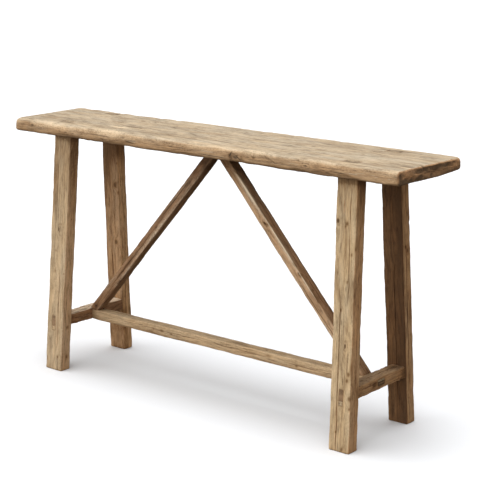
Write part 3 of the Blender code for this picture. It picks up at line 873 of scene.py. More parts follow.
# %% Build the side stretchers
side_stretchers = {}
for number, end in enumerate(("left", "right")):
    facts = stretcher_facts(end)
    bar = near_ends(1.0, 0.017)
    along = np.concatenate([[-1, -0.98, -0.5, 0], bar, [1, 1.5, 1.98, 2]])
    is_bar = np.concatenate([np.zeros(4), np.ones(len(bar)), np.zeros(4)])
    sizes = {
        "width": np.where(is_bar > 0, facts["width"], facts["tenon_width"]),
        "depth": np.where(is_bar > 0, facts["depth"], facts["tenon_depth"]),
        "radii": [np.where(is_bar > 0, 3.0 * MM, TENON_ARRIS)] * 4,
        "u": np.where(is_bar > 0, 0.0, facts["tenon_x"] - facts["x"]),
    }

    def side_place(t, u, v, facts=facts, end=end):
        """t is -1 and 2 at the legs' outer faces, 0 and 1 at their inner ones."""
        x, z = facts["x"] + u, facts["z"] + v
        front_out, front_in = (leg_face_y("front_" + end, z, outer) for outer in (True, False))
        back_in, back_out = (leg_face_y("back_" + end, z, outer) for outer in (False, True))
        t = t + 0 * u
        y = np.where(t < 0, front_in + (front_out - front_in) * -t, front_in + (back_in - front_in) * t)
        y = np.where(t > 1, back_in + (back_out - back_in) * (t - 1), y)
        return np.stack([x, y, z], axis=-1)

    look = dict(SIDE_LOOK, **SIDE_FAULTS[end])
    own = grain_frame((facts["x"], 0, facts["z"]), (0, 1, 0), (0, 0, 1))
    seed = 200 + 9 * number
    side_stretchers[end] = timber(
        end + "_side_bar", end + "_side_stretcher", own, side_place, along, sizes, look, seed
    )

# %% [markdown]
# ## The long stretcher
#
# It joins the two side stretchers, low down. It is one of the paler pieces, with a darker lower
# arris, and its tenons run through the side stretchers with a thin wedge over each.

# %% Sections of the long stretcher
low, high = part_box("long_stretcher")
side_boxes = {end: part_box(end + "_side_stretcher") for end in ("left", "right")}
bar_left, bar_right = side_boxes["left"][1].x, side_boxes["right"][0].x
points = node_points("long_stretcher")
tips = points[points[:, 0] > high.x - 1 * MM]
tenon_z = (tips[:, 2].min() + tips[:, 2].max()) / 2
bar = near_ends(bar_right - bar_left, 4 * MM) + bar_left
left_tenon = [low.x, low.x + 1 * MM, bar_left - 8 * MM, bar_left]
right_tenon = [bar_right, bar_right + 8 * MM, high.x - 1 * MM, high.x]
along = np.concatenate([left_tenon, bar, right_tenon])
is_bar = np.concatenate([np.zeros(4), np.ones(len(bar)), np.zeros(4)])
mid_z_long = (low.z + high.z) / 2
sizes = {
    "width": np.where(is_bar > 0, high.y - low.y + 0.6 * MM, tips[:, 1].max() - tips[:, 1].min()),
    "depth": np.where(is_bar > 0, high.z - low.z + 1.6 * MM, tips[:, 2].max() - tips[:, 2].min()),
    "radii": [np.where(is_bar > 0, 2.6 * MM, TENON_ARRIS)] * 4,
    "v": np.where(is_bar > 0, 0.0, tenon_z - mid_z_long),
}
print("long stretcher between", round(bar_left, 3), "and", round(bar_right, 3), "m")


# %% Build the long stretcher
def long_soil(x, u, v):
    """Darker along the lower arrises, and painted shade in the corners at both ends."""
    under = 0.7 * np.clip((-v - 0.006) / 0.008, 0, 1)
    return under + 0.6 * (np.exp(-(x - bar_left) / 0.015) + np.exp(-(bar_right - x) / 0.015))


LONG_LOOK = {
    "swell": 0.9 * MM, "nap": 0.4 * MM, "chip": 1.1 * MM, "grime": 0.8, "rub": 0.9, "pits": 16,
    "soil": long_soil,
    "cracks": [crack(3, 0.42, (-0.25, 0.20), 1.8 * MM, 1.2 * MM), crack(2, 0.5, (0.1, 0.5), 2 * MM),
               crack(3, 0.55, (0.25, 0.50), 1.6 * MM, 1.2 * MM), crack(0, 0.5, (-0.4, 0.2), 3 * MM)],
    "dents": [
        ((-0.530, -0.018, 0.004), (0.012, 0.010), -2.4 * MM, 0.3, 0.3),
        ((-0.228, -0.018, 0.002), (0.008, 0.005), 0.8 * MM, 1.4, 0.0),
        ((0.20, -0.018, 0.006), (0.012, 0.004), 0.8 * MM, 1.0, 0.0),
    ],
    "hold": lambda x: np.where((x < bar_left) | (x > bar_right), 0.0, 1.0),
}


def long_place(x, u, v):
    """A straight bar, so its own sizes are its places."""
    return np.stack([x + 0 * u, u, mid_z_long + v], axis=-1)


own = grain_frame((0, 0, mid_z_long), (1, 0, 0), (0, 0, 1))
long_bar = timber("long_bar", "long_stretcher", own, long_place, along, sizes, LONG_LOOK, 301)

# %% [markdown]
# ## The braces
#
# Each brace leans from the long stretcher's end to the middle of the plank. Its foot is
# scribed over the two stretchers, and its head is cut level under the plank and plumb where
# it meets the other brace. Every fibre starts and ends on one of those planes, so the place
# function only has to find where a slanting line crosses them.

# %% The line of a brace
def brace_line(end):
    """A brace's foot, direction and section, from the straight part of its CAD node."""
    points = node_points(end + "_brace")
    side = -1 if end == "left" else 1
    foot = points[points[:, 2] < 0.2]
    head = points[points[:, 2] > UNDER - 1 * MM]
    low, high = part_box(end + "_brace")
    outer = np.array([side * np.abs(foot[:, 0]).max(), foot[np.abs(foot[:, 0]).argmax(), 2]])
    far = head[np.abs(head[:, 0]).argmax()]
    run = np.array([far[0] - outer[0], far[2] - outer[1]])
    run = run / np.hypot(*run)
    normal = np.array([-run[1], run[0]]) * -side
    spread = points[:, [0, 2]] @ normal
    centre = (spread.min() + spread.max()) / 2
    return {
        "side": side, "run": run, "normal": normal, "middle": centre,
        "width": spread.max() - spread.min(), "depth": high.y - low.y,
        "foot_z": low.z, "head_z": high.z, "tip_x": min(abs(low.x), abs(high.x)) * side,
    }


BRACES = {end: brace_line(end) for end in ("left", "right")}
for end, facts in BRACES.items():
    slope = math.degrees(math.atan2(facts["run"][1], abs(facts["run"][0])))
    print(end, "brace rises at", round(slope, 1), "degrees,", round(facts["width"] / MM, 1), "mm wide")

# %% What happened to the braces
# Along a brace, t is 0 at its foot and 1 at its head. It is a little fuller than the packed
# bar across its face, as a hand-sawn batten is.
PROUD = 1.2 * MM


def brace_soil(t, u, v):
    """Painted shade at the head under the plank and at the foot between the stretchers, and an upper side
    that is partly dust and partly painted shade.
    """
    return 1.5 * np.exp(-np.clip(0.93 - t, 0, 1) / 0.055) + 0.8 * np.exp(-t / 0.02) + 0.35 * (v > 0.010)


BRACE_LOOK = {
    "swell": 0.8 * MM, "nap": 0.4 * MM, "chip": 1.0 * MM, "grime": 1.3, "rub": 0.8, "pits": 16, "unit": 1.3,
    "soil": brace_soil,
}
BRACE_FAULTS = {
    "left": {"cracks": [crack(3, 0.5, (0.15, 0.55), 2 * MM), crack(0, 0.5, (0.2, 0.7), 2 * MM)],
             "dents": [((0.30, -0.018, 0.0), (0.05, 0.006), 0.8 * MM, 1.0, 0.0),
                       ((0.62, -0.018, 0.006), (0.07, 0.006), 0.4 * MM, 0.9, 0.0),
                       ((0.50, -0.018, -0.010), (0.16, 0.005), 0.3 * MM, 0.0, 0.9)]},
    # on the right brace, the pale stretch along the upper arris is partly wear and partly painted highlight
    "right": {"cracks": [crack(3, 0.65, (0.10, 0.45), 2 * MM), crack(2, 0.5, (0.3, 0.7), 2 * MM)],
              "dents": [((0.80, -0.018, 0.010), (0.075, 0.005), 0.4 * MM, 0.0, 2.0),
                        ((0.55, -0.018, 0.011), (0.12, 0.004), 0.3 * MM, 0.0, 1.0),
                        ((0.663, -0.018, 0.004), (0.009, 0.006), 0.8 * MM, 1.6, 0.0),
                        ((0.434, -0.018, 0.010), (0.009, 0.006), 0.8 * MM, 1.6, 0.0)]},
}
print("braces stand", PROUD / MM, "mm proud of the packed bars")


# %% Where the nails went in
HEAD_REACH = 2 * MM
NAIL_DENT = ((0.012, 8 * MM), 0.9 * MM, 0.9, 0.0)


def nail_hollows(end, facts):
    """A small dark hollow round the head of each nail, so that the head stays in sight."""
    hollows = []
    for place in ("_foot_nail_front", "_foot_nail_back", "_head_nail_front", "_head_nail_back"):
        low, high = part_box(end + place)
        front = "front" in place
        face = low.y if front else high.y
        points = node_points(end + place)
        flat = points[np.abs(points[:, 1] - face) < HEAD_REACH].mean(0)[[0, 2]]
        base = facts["normal"] * facts["middle"]
        start = (facts["foot_z"] - base[1]) / facts["run"][1]
        finish = (facts["head_z"] - base[1]) / facts["run"][1]
        t = (flat @ facts["run"] - start) / (finish - start)
        v = flat @ facts["normal"] - facts["middle"]
        side = -1 if front else 1
        hollows.append(((t, side * facts["depth"] / 2, v), *NAIL_DENT))
    return hollows


# %% Build the braces
SCRIBE_GAP = 0.4 * MM
OVER_GAP = 0.3 * MM
braces = {}
for number, (end, facts) in enumerate(BRACES.items()):
    run, normal = facts["run"], facts["normal"]
    inner_x = abs(bar_left if end == "left" else bar_right) - SCRIBE_GAP
    over_top = side_boxes[end][1].z + OVER_GAP

    def brace_place(
        t, back, across, facts=facts, run=run, normal=normal, inner_x=inner_x, over_top=over_top
    ):
        """back is front to back, across is across the brace in its own plane."""
        base = normal * facts["middle"]
        start = np.stack([base[0] + normal[0] * across, base[1] + normal[1] * across], axis=-1)

        def reach_z(z):
            """How far along the brace each fibre meets a level plane."""
            return (z - start[..., 1]) / run[1]

        def reach_x(x):
            """How far along the brace each fibre meets a plumb plane."""
            return (x - start[..., 0]) / run[0]

        s_foot = reach_z(facts["foot_z"])
        over = np.abs(start[..., 0] + run[0] * s_foot) > inner_x
        beside = reach_x(facts["side"] * inner_x)
        s_foot = np.where(over, np.minimum(reach_z(over_top), beside), s_foot)
        s_head = np.minimum(reach_z(facts["head_z"]), reach_x(facts["tip_x"]))
        s = s_foot + (s_head - s_foot) * t
        x, z = (start[..., axis] + run[axis] * s for axis in (0, 1))
        return np.stack([x, back + 0 * across, z], axis=-1)

    look = dict(BRACE_LOOK, **BRACE_FAULTS[end])
    look["dents"] = look["dents"] + nail_hollows(end, facts)
    along = np.linspace(0, 1, 230)
    sizes = {"width": facts["depth"], "depth": facts["width"] + 2 * PROUD, "radii": [2.4 * MM] * 4}
    lean = Vector((run[0], 0, run[1]))
    middle = normal * facts["middle"] + run * 0.5
    own = grain_frame((middle[0], 0, middle[1]), lean, (0, 1, 0))
    seed = 400 + 5 * number
    braces[end] = timber(end + "_slant", end + "_brace", own, brace_place, along, sizes, look, seed)

# %% [markdown]
# ## Mortises
#
# The holes are cut last, when the timbers already have their weathered skins. Each cutter is
# the size of the tenon and wedge that fill the hole, with a hair of room, and leans as they
# do. Dirt gathers along the rim of an old joint, so the cut also darkens what is near it.


# %% Cut a hole
ROOM = 0.45 * MM
DIRT_REACH = 1.6 * MM


def cut_hole(piece, low, high, lean=(0.0, 0.0), level=0.0, dirt=0.7):
    """Cut a box out of a timber. lean moves its x and y with height above `level`."""
    low = Vector(low) - Vector((ROOM, ROOM, ROOM))
    high = Vector(high) + Vector((ROOM, ROOM, ROOM))
    points = []
    for z in (low.z, high.z):
        sx, sy = lean[0] * (z - level), lean[1] * (z - level)
        points += [(low.x + sx, low.y + sy, z), (high.x + sx, low.y + sy, z),
                   (high.x + sx, high.y + sy, z), (low.x + sx, high.y + sy, z)]
    faces = [(3, 2, 1, 0), (4, 5, 6, 7), (0, 1, 5, 4), (1, 2, 6, 5), (2, 3, 7, 6), (3, 0, 4, 7)]
    mesh = bpy.data.meshes.new("cutter")
    mesh.from_pydata(points, [], faces)
    cutter = bpy.data.objects.new("cutter", mesh)
    bpy.context.scene.collection.objects.link(cutter)
    cut = piece.modifiers.new("hole", "BOOLEAN")
    cut.operation, cut.solver, cut.object = "DIFFERENCE", "EXACT", cutter
    bpy.context.view_layer.update()
    shown = piece.evaluated_get(bpy.context.evaluated_depsgraph_get())
    carved = bpy.data.meshes.new_from_object(shown)
    piece.modifiers.clear()
    piece.data = carved
    bpy.data.objects.remove(cutter, do_unlink=True)
    soil_rim(piece, low, high, lean, level, dirt)


# %% Dirt round a hole
def soil_rim(piece, low, high, lean, level, dirt):
    """Darken the points of a timber that are near a box cut out of it."""
    carved = piece.data
    count = len(carved.vertices)
    co = np.empty(count * 3, np.float32)
    carved.vertices.foreach_get("co", co)
    turn = np.array(piece.matrix_world)
    world = co.reshape(-1, 3) @ turn[:3, :3].T + turn[:3, 3]
    straight = world[:, :2] - np.array(lean) * (world[:, 2:3] - level)
    straight = np.hstack([straight, world[:, 2:3]])
    middle, half = np.array((low + high) / 2), np.array((high - low) / 2)
    gap = np.abs(straight - middle) - half
    outside = np.linalg.norm(np.maximum(gap, 0), axis=1)
    stain = np.empty(count, np.float32)
    carved.attributes["stain"].data.foreach_get("value", stain)
    stain += dirt * np.exp(-(outside / DIRT_REACH) ** 2)
    carved.attributes["stain"].data.foreach_set("value", stain)


# %% Holes for the leg tenons, through the plank
BEYOND = 0.03
for corner in CORNERS:
    facts = LEG_FACTS[corner]
    tenon_low, tenon_high = corners_at(corner + "_leg", TOP)
    wedge_low, wedge_high = corners_at(corner + "_leg_wedge", TOP)
    low = np.minimum(tenon_low, wedge_low)
    high = np.maximum(tenon_high, wedge_high)
    cut_hole(plank, (*low, UNDER - BEYOND), (*high, TOP + BEYOND), facts["lean"], TOP, dirt=0.25)
print("plank now has", len(plank.data.vertices), "points")

# %% Holes for the stretcher tenons, through the legs and the side stretchers
THROUGH = 0.3
for corner in CORNERS:
    end = corner.split("_")[1]
    facts = stretcher_facts(end)
    wedge_low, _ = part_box(corner + "_stretcher_wedge")
    half = facts["tenon_width"] / 2
    top = facts["z"] + facts["tenon_depth"] / 2
    front, back = (-THROUGH, 0.0) if "front" in corner else (0.0, THROUGH)
    left_x, right_x = facts["tenon_x"] - half, facts["tenon_x"] + half
    cut_hole(legs[corner], (left_x, front, wedge_low.z), (right_x, back, top))
for end, bar in side_stretchers.items():
    low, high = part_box("long_stretcher_" + end + "_wedge")
    bar_low, bar_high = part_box(end + "_side_stretcher")
    tenon_low = tips[:, 2].min()
    cut_hole(bar, (bar_low.x - BEYOND, low.y, tenon_low), (bar_high.x + BEYOND, high.y, high.z))
    print(end, "side stretcher now has", len(bar.data.vertices), "points")

# %% [markdown]
# ## Finishes
#
# Old wood is one colour only from afar. Close up there are slow changes from heartwood to
# sapwood, the rings of growth, fine streaks along the grain, and dark pores. All of these
# are long along the grain and narrow across it, so the texture space is squeezed along one
# axis. Each timber's own X axis runs along its grain, so one recipe serves them all.
#
# The mesh carries three values at each point: stain where dirt sits and where shade is painted,
# wear where hands have rubbed it pale and where a highlight is painted, and end on sawn ends.
# The finish reads them, and breaks them up with noise.


# %% Node helpers
class Recipe:
    """A short way to write a material's node tree."""

    def __init__(self, name):
        self.material = bpy.data.materials.new(name)
        self.material.use_nodes = True
        self.tree = self.material.node_tree
        self.shader = self.tree.nodes["Principled BSDF"]

    def put(self, socket, value):
        """Link a socket to another node's output, or type a value into it."""
        if isinstance(value, bpy.types.NodeSocket):
            self.tree.links.new(value, socket)
        else:
            socket.default_value = value

    def node(self, kind, inputs=(), **settings):
        """A new node, with its settings made and its inputs filled."""
        node = self.tree.nodes.new("ShaderNode" + kind)
        for key, value in settings.items():
            setattr(node, key, value)
        for key, value in dict(inputs).items():
            self.put(node.inputs[key], value)
        return node

    def math(self, operation, a, b=0.0, clamp=False):
        """One sum of two values."""
        return self.node("Math", {0: a, 1: b}, operation=operation, use_clamp=clamp).outputs[0]

    def times(self, a, b, clamp=False):
        """Two values multiplied."""
        return self.math("MULTIPLY", a, b, clamp)

    def total(self, *values):
        """Any number of values added up."""
        found = values[0]
        for value in values[1:]:
            found = self.math("ADD", found, value)
        return found

    def swing(self, value, middle, share):
        """How far a value is from its middle, times a share."""
        return self.times(self.math("SUBTRACT", value, middle), share)

    def noise(self, space, scale, detail=4.0, roughness=0.55, lift=0.0):
        """Noise in a space stretched by `scale` per metre along each axis."""
        spread = self.node("Mapping", {"Vector": space, "Scale": scale, "Location": (lift, lift, lift)})
        inputs = {"Vector": spread.outputs[0], "Scale": 1.0, "Detail": detail, "Roughness": roughness}
        return self.node("TexNoise", inputs).outputs["Fac"]

    def span(self, value, low, high, to_low=0.0, to_high=1.0):
        """Stretch a value from one range to another and clamp it."""
        inputs = {"Value": value, "From Min": low, "From Max": high, "To Min": to_low, "To Max": to_high}
        return self.node("MapRange", inputs).outputs[0]

    def blend(self, share, a, b, kind="MIX"):
        """Mix two colours, each one a socket or three light values."""
        node = self.node("Mix", {0: share}, data_type="RGBA", blend_type=kind)
        for key, value in ((6, a), (7, b)):
            linked = isinstance(value, bpy.types.NodeSocket)
            self.put(node.inputs[key], value if linked else (*value, 1.0))
        return node.outputs[2]

    def tag(self, name):
        """A value that the mesh carries at each point."""
        return self.node("Attribute", attribute_name=name).outputs["Fac"]

    def bump(self, height, strength, distance):
        """Small relief, in the light only."""
        bump = self.node("Bump", {"Height": height, "Strength": strength, "Distance": distance})
        self.put(self.shader.inputs["Normal"], bump.outputs[0])


print("recipe helpers:", [word for word in vars(Recipe) if not word.startswith("_")])

# %% [markdown]
# Each kind of variation is one noise texture. Slow is heartwood against sapwood, streaks and
# fine are the grain, grit is the dust-sized speckle of a sanded old face, mottle and patina
# are patches of light and damp. Wander bends the growth rings and gate says where the pores
# are open.

# %% Noises that follow the grain
GRAIN_AXES = {"x": (0, 0, 0), "y": (0, 0, -math.pi / 2), "z": (0, math.pi / 2, 0)}
# per metre along the grain, per metre across it, detail, roughness, and shift of the pattern
NOISES = {
    "slow": (5.0, 26.0, 3.0, 0.55, 0),
    "streaks": (16.0, 270.0, 4.0, 0.62, 3),
    "fine": (70.0, 640.0, 4.0, 0.68, 5),
    "grit": (170.0, 330.0, 4.0, 0.68, 13),
    "mottle": (26.0, 85.0, 3.0, 0.6, 17),
    "patina": (7.0, 34.0, 3.0, 0.6, 21),
    "wander": (5.0, 24.0, 3.0, 0.5, 9),
    "gate": (9.0, 60.0, 2.0, 0.5, 11),
}


def grain_noises(r, space, lift):
    """Every noise of one timber. Lift makes its pattern differ from the next timber's."""
    return {
        kind: r.noise(space, (along, across, across), detail, roughness, lift + shift)
        for kind, (along, across, detail, roughness, shift) in NOISES.items()
    }


def near(r, coords, grit, place, sizes, turn=0.0):
    """Distance from a place, in units of its half sizes, made uneven by the grit."""
    inputs = {"Vector": coords, "Location": place, "Scale": sizes, "Rotation": (0.0, turn, 0.0)}
    local = r.node("Mapping", inputs, vector_type="TEXTURE").outputs[0]
    length = r.node("VectorMath", {0: local}, operation="LENGTH").outputs["Value"]
    return r.total(length, r.swing(grit, 0.5, 0.9))


print(len(NOISES), "noises per timber")

# %% [markdown]
# Growth rings are drawn as a carpenter would explain them: the board was sawn from beside
# the middle of a trunk, so each point's distance from that middle line, folded back and
# forth, is light early wood and dark late wood. A knot lifts the distance round it, and the
# rings flow past as they do on a real board.

# %% Rings, tones and pores
PITH_PLACE = (0, 0.021, 0.064)
PITH_SLOPE = (0, 0.035, 0.05)
WARM_TINT, COOL_TINT = (1.03, 0.985, 0.93), (0.97, 1.0, 1.05)
# the warm tint that stains and painted shade give the wood
STAIN_AND_SHADE_TINT = (1.0, 0.84, 0.66)
PORE_CELLS = (30.0, 280.0, 280.0)


def growth_rings(r, space, wander, rings, knot_gaps):
    """Early and late wood from 0 to 1, with about `rings` rings per metre."""
    pith = r.node("Mapping", {"Vector": space, "Location": PITH_PLACE, "Rotation": PITH_SLOPE})
    parts = r.node("SeparateXYZ", {0: pith.outputs[0]}).outputs
    squares = r.total(r.math("POWER", parts[1], 2.0), r.math("POWER", parts[2], 2.0))
    phase = r.total(r.times(r.math("SQRT", squares), rings), r.times(wander, 11.0))
    for gap in knot_gaps:
        phase = r.total(phase, r.times(r.math("POWER", r.span(gap, 2.6, 0.0), 2.0), 5.0))
    return r.math("POWER", r.math("PINGPONG", phase, 1.0), 1.8)


def timber_colour(r, noises, ring, streak, mottled, families):
    """Dark, middle and pale colours from the noises, in one family for each direction."""
    tone = r.total(
        r.times(noises["slow"], 0.60),
        r.times(noises["streaks"], 1.15 * streak),
        r.swing(ring, 0.35, -0.26 * streak),
        r.swing(noises["fine"], 0.5, 0.60 * streak),
        r.swing(noises["grit"], 0.5, 0.60 * streak),
        r.swing(noises["mottle"], 0.5, mottled * streak),
    )
    middle, reach = 0.30 + 0.575 * streak, 0.36
    share = r.span(tone, middle - reach, middle + reach)
    colours = []
    for shades in families:
        ramp = r.node("ValToRGB", {"Fac": share})
        stops = ramp.color_ramp.elements
        stops.new(0.5)
        for stop, place, kind in zip(stops, (0.0, 0.5, 1.0), ("dark", "mid", "pale")):
            stop.position = place
            stop.color = (*shades[kind], 1.0)
        colours.append(ramp.outputs["Color"])
    # faces along side_axis take the second family, which is partly painted light and shade
    sideways = r.span(r.total(r.tag("sideways"), r.times(noises["slow"], 0.5)), 0.55, 0.95)
    tint = r.blend(r.span(noises["patina"], 0.36, 0.64), WARM_TINT, COOL_TINT)
    return r.blend(1.0, r.blend(sideways, *colours), tint, "MULTIPLY")


def open_pores(r, space, gate, lift):
    """Short dark dashes where pores are open."""
    cell = r.node("Mapping", {"Vector": space, "Scale": PORE_CELLS, "Location": (lift, 0, 0)})
    dots = r.node("TexVoronoi", {"Vector": cell.outputs[0], "Scale": 1.0}).outputs["Distance"]
    return r.times(r.span(dots, 0.34, 0.14), r.span(gate, 0.46, 0.62))


def sawn_face(r, grit, ring, stain, end, dusk):
    """End grain: dark late wood, pale torn fibres and soot."""
    cut = r.blend(r.times(ring, 0.6), end, tuple(0.45 * c for c in end))
    cut = r.blend(r.span(grit, 0.42, 0.72, 0.0, 0.8), cut, tuple(min(0.9, 1.6 * c) for c in end))
    return r.blend(r.times(stain, 0.85), cut, dusk)


print("a pore every", round(1000 / PORE_CELLS[0]), "mm along the grain")


# %% The recipe for old wood
def old_wood(
    name, face, side, rings=190.0, grain="x", lift=0.0, streak=1.0, mottled=0.60, knots=(), marks=()
):
    """Weathered wood. face and side are families of colours for two directions.

    A knot is (place, half sizes). A mark is (place, half sizes, turn, strength), dark where
    the strength is above zero and pale where it is below.
    """
    r = Recipe(name)
    coords = r.node("TexCoord").outputs["Object"]
    space = r.node("Mapping", {"Vector": coords, "Rotation": GRAIN_AXES[grain]}).outputs[0]
    noises = grain_noises(r, space, lift)
    grit = noises["grit"]
    dusk = tuple(0.36 * c for c in side["dark"])

    # the sound wood: rings that part round the knots, and pores
    gaps = [near(r, coords, grit, place, sizes) for place, sizes in knots]
    heart = 0.0
    for gap in gaps:
        heart = r.math("MAXIMUM", heart, r.span(gap, 0.62, 0.20))
    ring = growth_rings(r, space, noises["wander"], rings, gaps)
    colour = timber_colour(r, noises, ring, streak, mottled, (face, side))
    pores = open_pores(r, space, noises["gate"], lift)
    colour = r.blend(r.times(pores, 0.70 * streak), colour, dusk)

    # wear and painted highlight, stain and painted shade, knots, scratches and end grain, each broken up by
    # the grit
    wear = r.times(r.tag("wear"), r.span(grit, 0.32, 0.62), clamp=True)
    colour = r.blend(r.times(wear, 0.60), colour, face["worn"])
    # stain and painted shade: a warm tint, then darker
    stain = r.times(r.tag("stain"), r.span(grit, 0.30, 0.60, 0.35, 1.15), clamp=True)
    colour = r.blend(stain, colour, STAIN_AND_SHADE_TINT, "MULTIPLY")
    colour = r.blend(r.times(stain, 0.72), colour, dusk)
    colour = r.blend(r.times(heart, 0.75), colour, dusk)
    cuts = 0.0
    for place, sizes, turn, strength in marks:
        inside = r.span(near(r, coords, grit, place, sizes, turn), 1.1, 0.45)
        drawn = r.times(inside, abs(strength))
        colour = r.blend(drawn, colour, dusk if strength > 0 else face["worn"])
        cuts = r.total(cuts, drawn if strength > 0 else 0.0)
    colour = r.blend(r.tag("end"), colour, sawn_face(r, grit, ring, stain, face["end"], dusk))
    r.put(r.shader.inputs["Base Color"], colour)

    # a dry surface, a little smoother where it is rubbed
    dry = r.span(r.total(noises["streaks"], noises["fine"]), 0.7, 1.3, 0.92, 0.70)
    r.put(r.shader.inputs["Roughness"], r.math("SUBTRACT", dry, r.times(wear, 0.10)))
    r.shader.inputs["Specular IOR Level"].default_value = 0.25

    relief = r.total(
        r.times(noises["streaks"], 0.9),
        r.times(noises["fine"], 0.5),
        r.times(grit, 0.7),
        r.times(noises["mottle"], 0.6),
        r.times(ring, -0.22),
        r.times(pores, -0.5),
        r.times(r.total(cuts, heart), -0.6),
    )
    r.bump(relief, 0.95, 1.9 * MM)
    print(name, len(r.tree.nodes), "nodes")
    return r.material


# %% [markdown]
# The colours are told as they look on a screen and turned into light values. A family holds
# the colours that one timber shows: its middle tone, the dark and pale of its grain, the
# bare wood of a rubbed arris, which on the right brace is partly a painted highlight, and its
# end grain.


# %% Families of colours
def shade(red, green, blue):
    """A screen colour from 0 to 255 as light values."""
    return tuple((c / 255) ** 2.2 for c in (red, green, blue))


def family(base, end=None, worn=None):
    """Pale, middle, dark, worn and end-grain colours round one base colour."""
    light = shade(*base)
    return {
        "mid": light,
        "pale": tuple(min(0.9, c * 1.42) for c in light),
        "dark": tuple(c * f for c, f in zip(light, (0.44, 0.39, 0.34))),
        "worn": shade(*worn) if worn else tuple(min(0.9, c * f) for c, f in zip(light, (1.5, 1.6, 1.7))),
        "end": shade(*end) if end else tuple(c * 0.55 for c in light),
    }


print("a middle brown is", [round(c, 3) for c in shade(150, 120, 92)])

# %% [markdown]
# A timber has a second family of colours for its upper or its narrow faces. It is partly
# weathering, as light and weather reach some faces more than others, and partly painted light
# and shade: each face is given the colour it shows in the light that falls on it. The mesh
# carries which way each point faces, so the finish stays the same however the table is turned.

# %% Put a finish on a timber
X_AXIS, Z_AXIS = (1, 0, 0), (0, 0, 1)
ARRIS_ANGLE = math.radians(52)


def refinish(thing, material):
    """Swap whatever finish a piece has for one new one."""
    thing.data.materials.clear()
    thing.data.materials.append(material)


def dress(piece, material, side_axis, both_ways=False):
    """Put a finish on, and mark the points that face along side_axis or along the grain."""
    refinish(piece, material)
    mesh = piece.data
    mesh.shade_smooth()
    mesh.set_sharp_from_angle(angle=ARRIS_ANGLE)
    normals = np.empty(len(mesh.vertices) * 3, np.float32)
    mesh.vertices.foreach_get("normal", normals)
    normals = normals.reshape(-1, 3)
    ends = np.clip((np.abs(normals[:, 0]) - 0.45) / 0.30, 0, 1)
    mesh.attributes["end"].data.foreach_set("value", ends.astype(np.float32))
    turn = np.array(piece.matrix_world)[:3, :3]
    facing = normals @ turn.T @ np.array(side_axis, np.float32)
    facing = np.abs(facing) if both_ways else np.clip(facing, 0, 1)
    layer = mesh.attributes.new("sideways", "FLOAT", "POINT")
    layer.data.foreach_set("value", facing.astype(np.float32))
    print(piece.name, "wears", material.name)


# %% [markdown]
# ### The plank's finish
#
# Its upper face has gone grey-beige and its edges are tan. The front edge has one big knot
# near the middle, a few saw nicks, and shallow dark scratches, and three thin parallel lines
# over the right leg are where its tenon and wedge come through.

# %% Dress the plank
# A knot is a place and half sizes. A mark adds a turn and a strength.
PLANK_KNOTS = [
    ((0.183, FRONT, -0.004), (0.016, 0.02, 0.011)),
    ((-0.648, FRONT, 0.004), (0.012, 0.02, 0.006)),
    ((0.43, FRONT, 0.0), (0.010, 0.02, 0.005)),
    ((-0.31, 0.055, UP), (0.012, 0.008, 0.02)),
    ((0.33, 0.02, UP), (0.012, 0.008, 0.02)),
]
# on the front edge: x, height, half length, half width, turn and strength
EDGE_MARKS = (
    (0.166, 0.003, 0.012, 0.0022, -0.9, 1.0), (0.195, -0.006, 0.016, 0.0016, 0.7, 0.9),
    (0.293, 0.008, 0.014, 0.0009, 0.6, 0.8), (0.306, 0.004, 0.014, 0.0009, 0.6, 0.8),
    (0.318, -0.001, 0.012, 0.0009, 0.6, 0.7), (-0.525, -0.003, 0.007, 0.0014, 0.2, 0.8),
    (-0.500, -0.004, 0.008, 0.0013, 0.0, 0.8), (-0.470, -0.006, 0.009, 0.0014, -0.2, 0.8),
    (-0.222, -0.007, 0.024, 0.0012, 0.15, 0.8), (0.545, -0.006, 0.022, 0.0013, 0.0, 0.8),
    (0.10, -0.010, 0.070, 0.0013, 0.02, 0.8), (-0.35, 0.002, 0.060, 0.0011, 0.02, 0.6),
    (0.52, 0.003, 0.070, 0.0012, -0.02, 0.6),
)
# on the upper face: x, y, half length, half width and strength
TOP_MARKS = (
    (-0.355, -0.064, 0.022, 0.0022, 0.9), (-0.320, -0.090, 0.022, 0.0020, 0.9),
    (-0.029, -0.087, 0.016, 0.0020, 0.9), (0.545, -0.094, 0.026, 0.0012, 0.8),
    (0.545, -0.078, 0.026, 0.0010, 0.7), (0.552, -0.062, 0.024, 0.0010, 0.6),
    (0.712, -0.086, 0.016, 0.0030, -0.9), (-0.335, -0.078, 0.030, 0.0080, -0.7),
)
MARK_DEPTH = 0.01
plank_marks = [
    ((x, FRONT, z), (half, MARK_DEPTH, thin), turn, force)
    for x, z, half, thin, turn, force in EDGE_MARKS
]
plank_marks += [
    ((x, y, UP), (half, thin, MARK_DEPTH), 0.0, force)
    for x, y, half, thin, force in TOP_MARKS
]
edge = family((159, 131, 100), (184, 144, 107), (224, 200, 166))
upper = family((170, 154, 131), (166, 129, 95))
finish = old_wood(
    "plank_wood", edge, upper, rings=150.0, streak=0.95, mottled=0.35, knots=PLANK_KNOTS, marks=plank_marks
)
dress(plank, finish, Z_AXIS)

# %% [markdown]
# ### The legs' finish
#
# Each leg was a different piece of timber, so each has its own brown. The broad faces are
# greyer than the narrow ones, partly from painted light and shade. The back right leg is the
# darkest: its front and inner faces are partly dark wood and partly painted shade, the front
# nearly black towards its outer arris, and its outer and back faces are a middle brown.

# %% Dress the legs
TENON_END = (172, 154, 128)
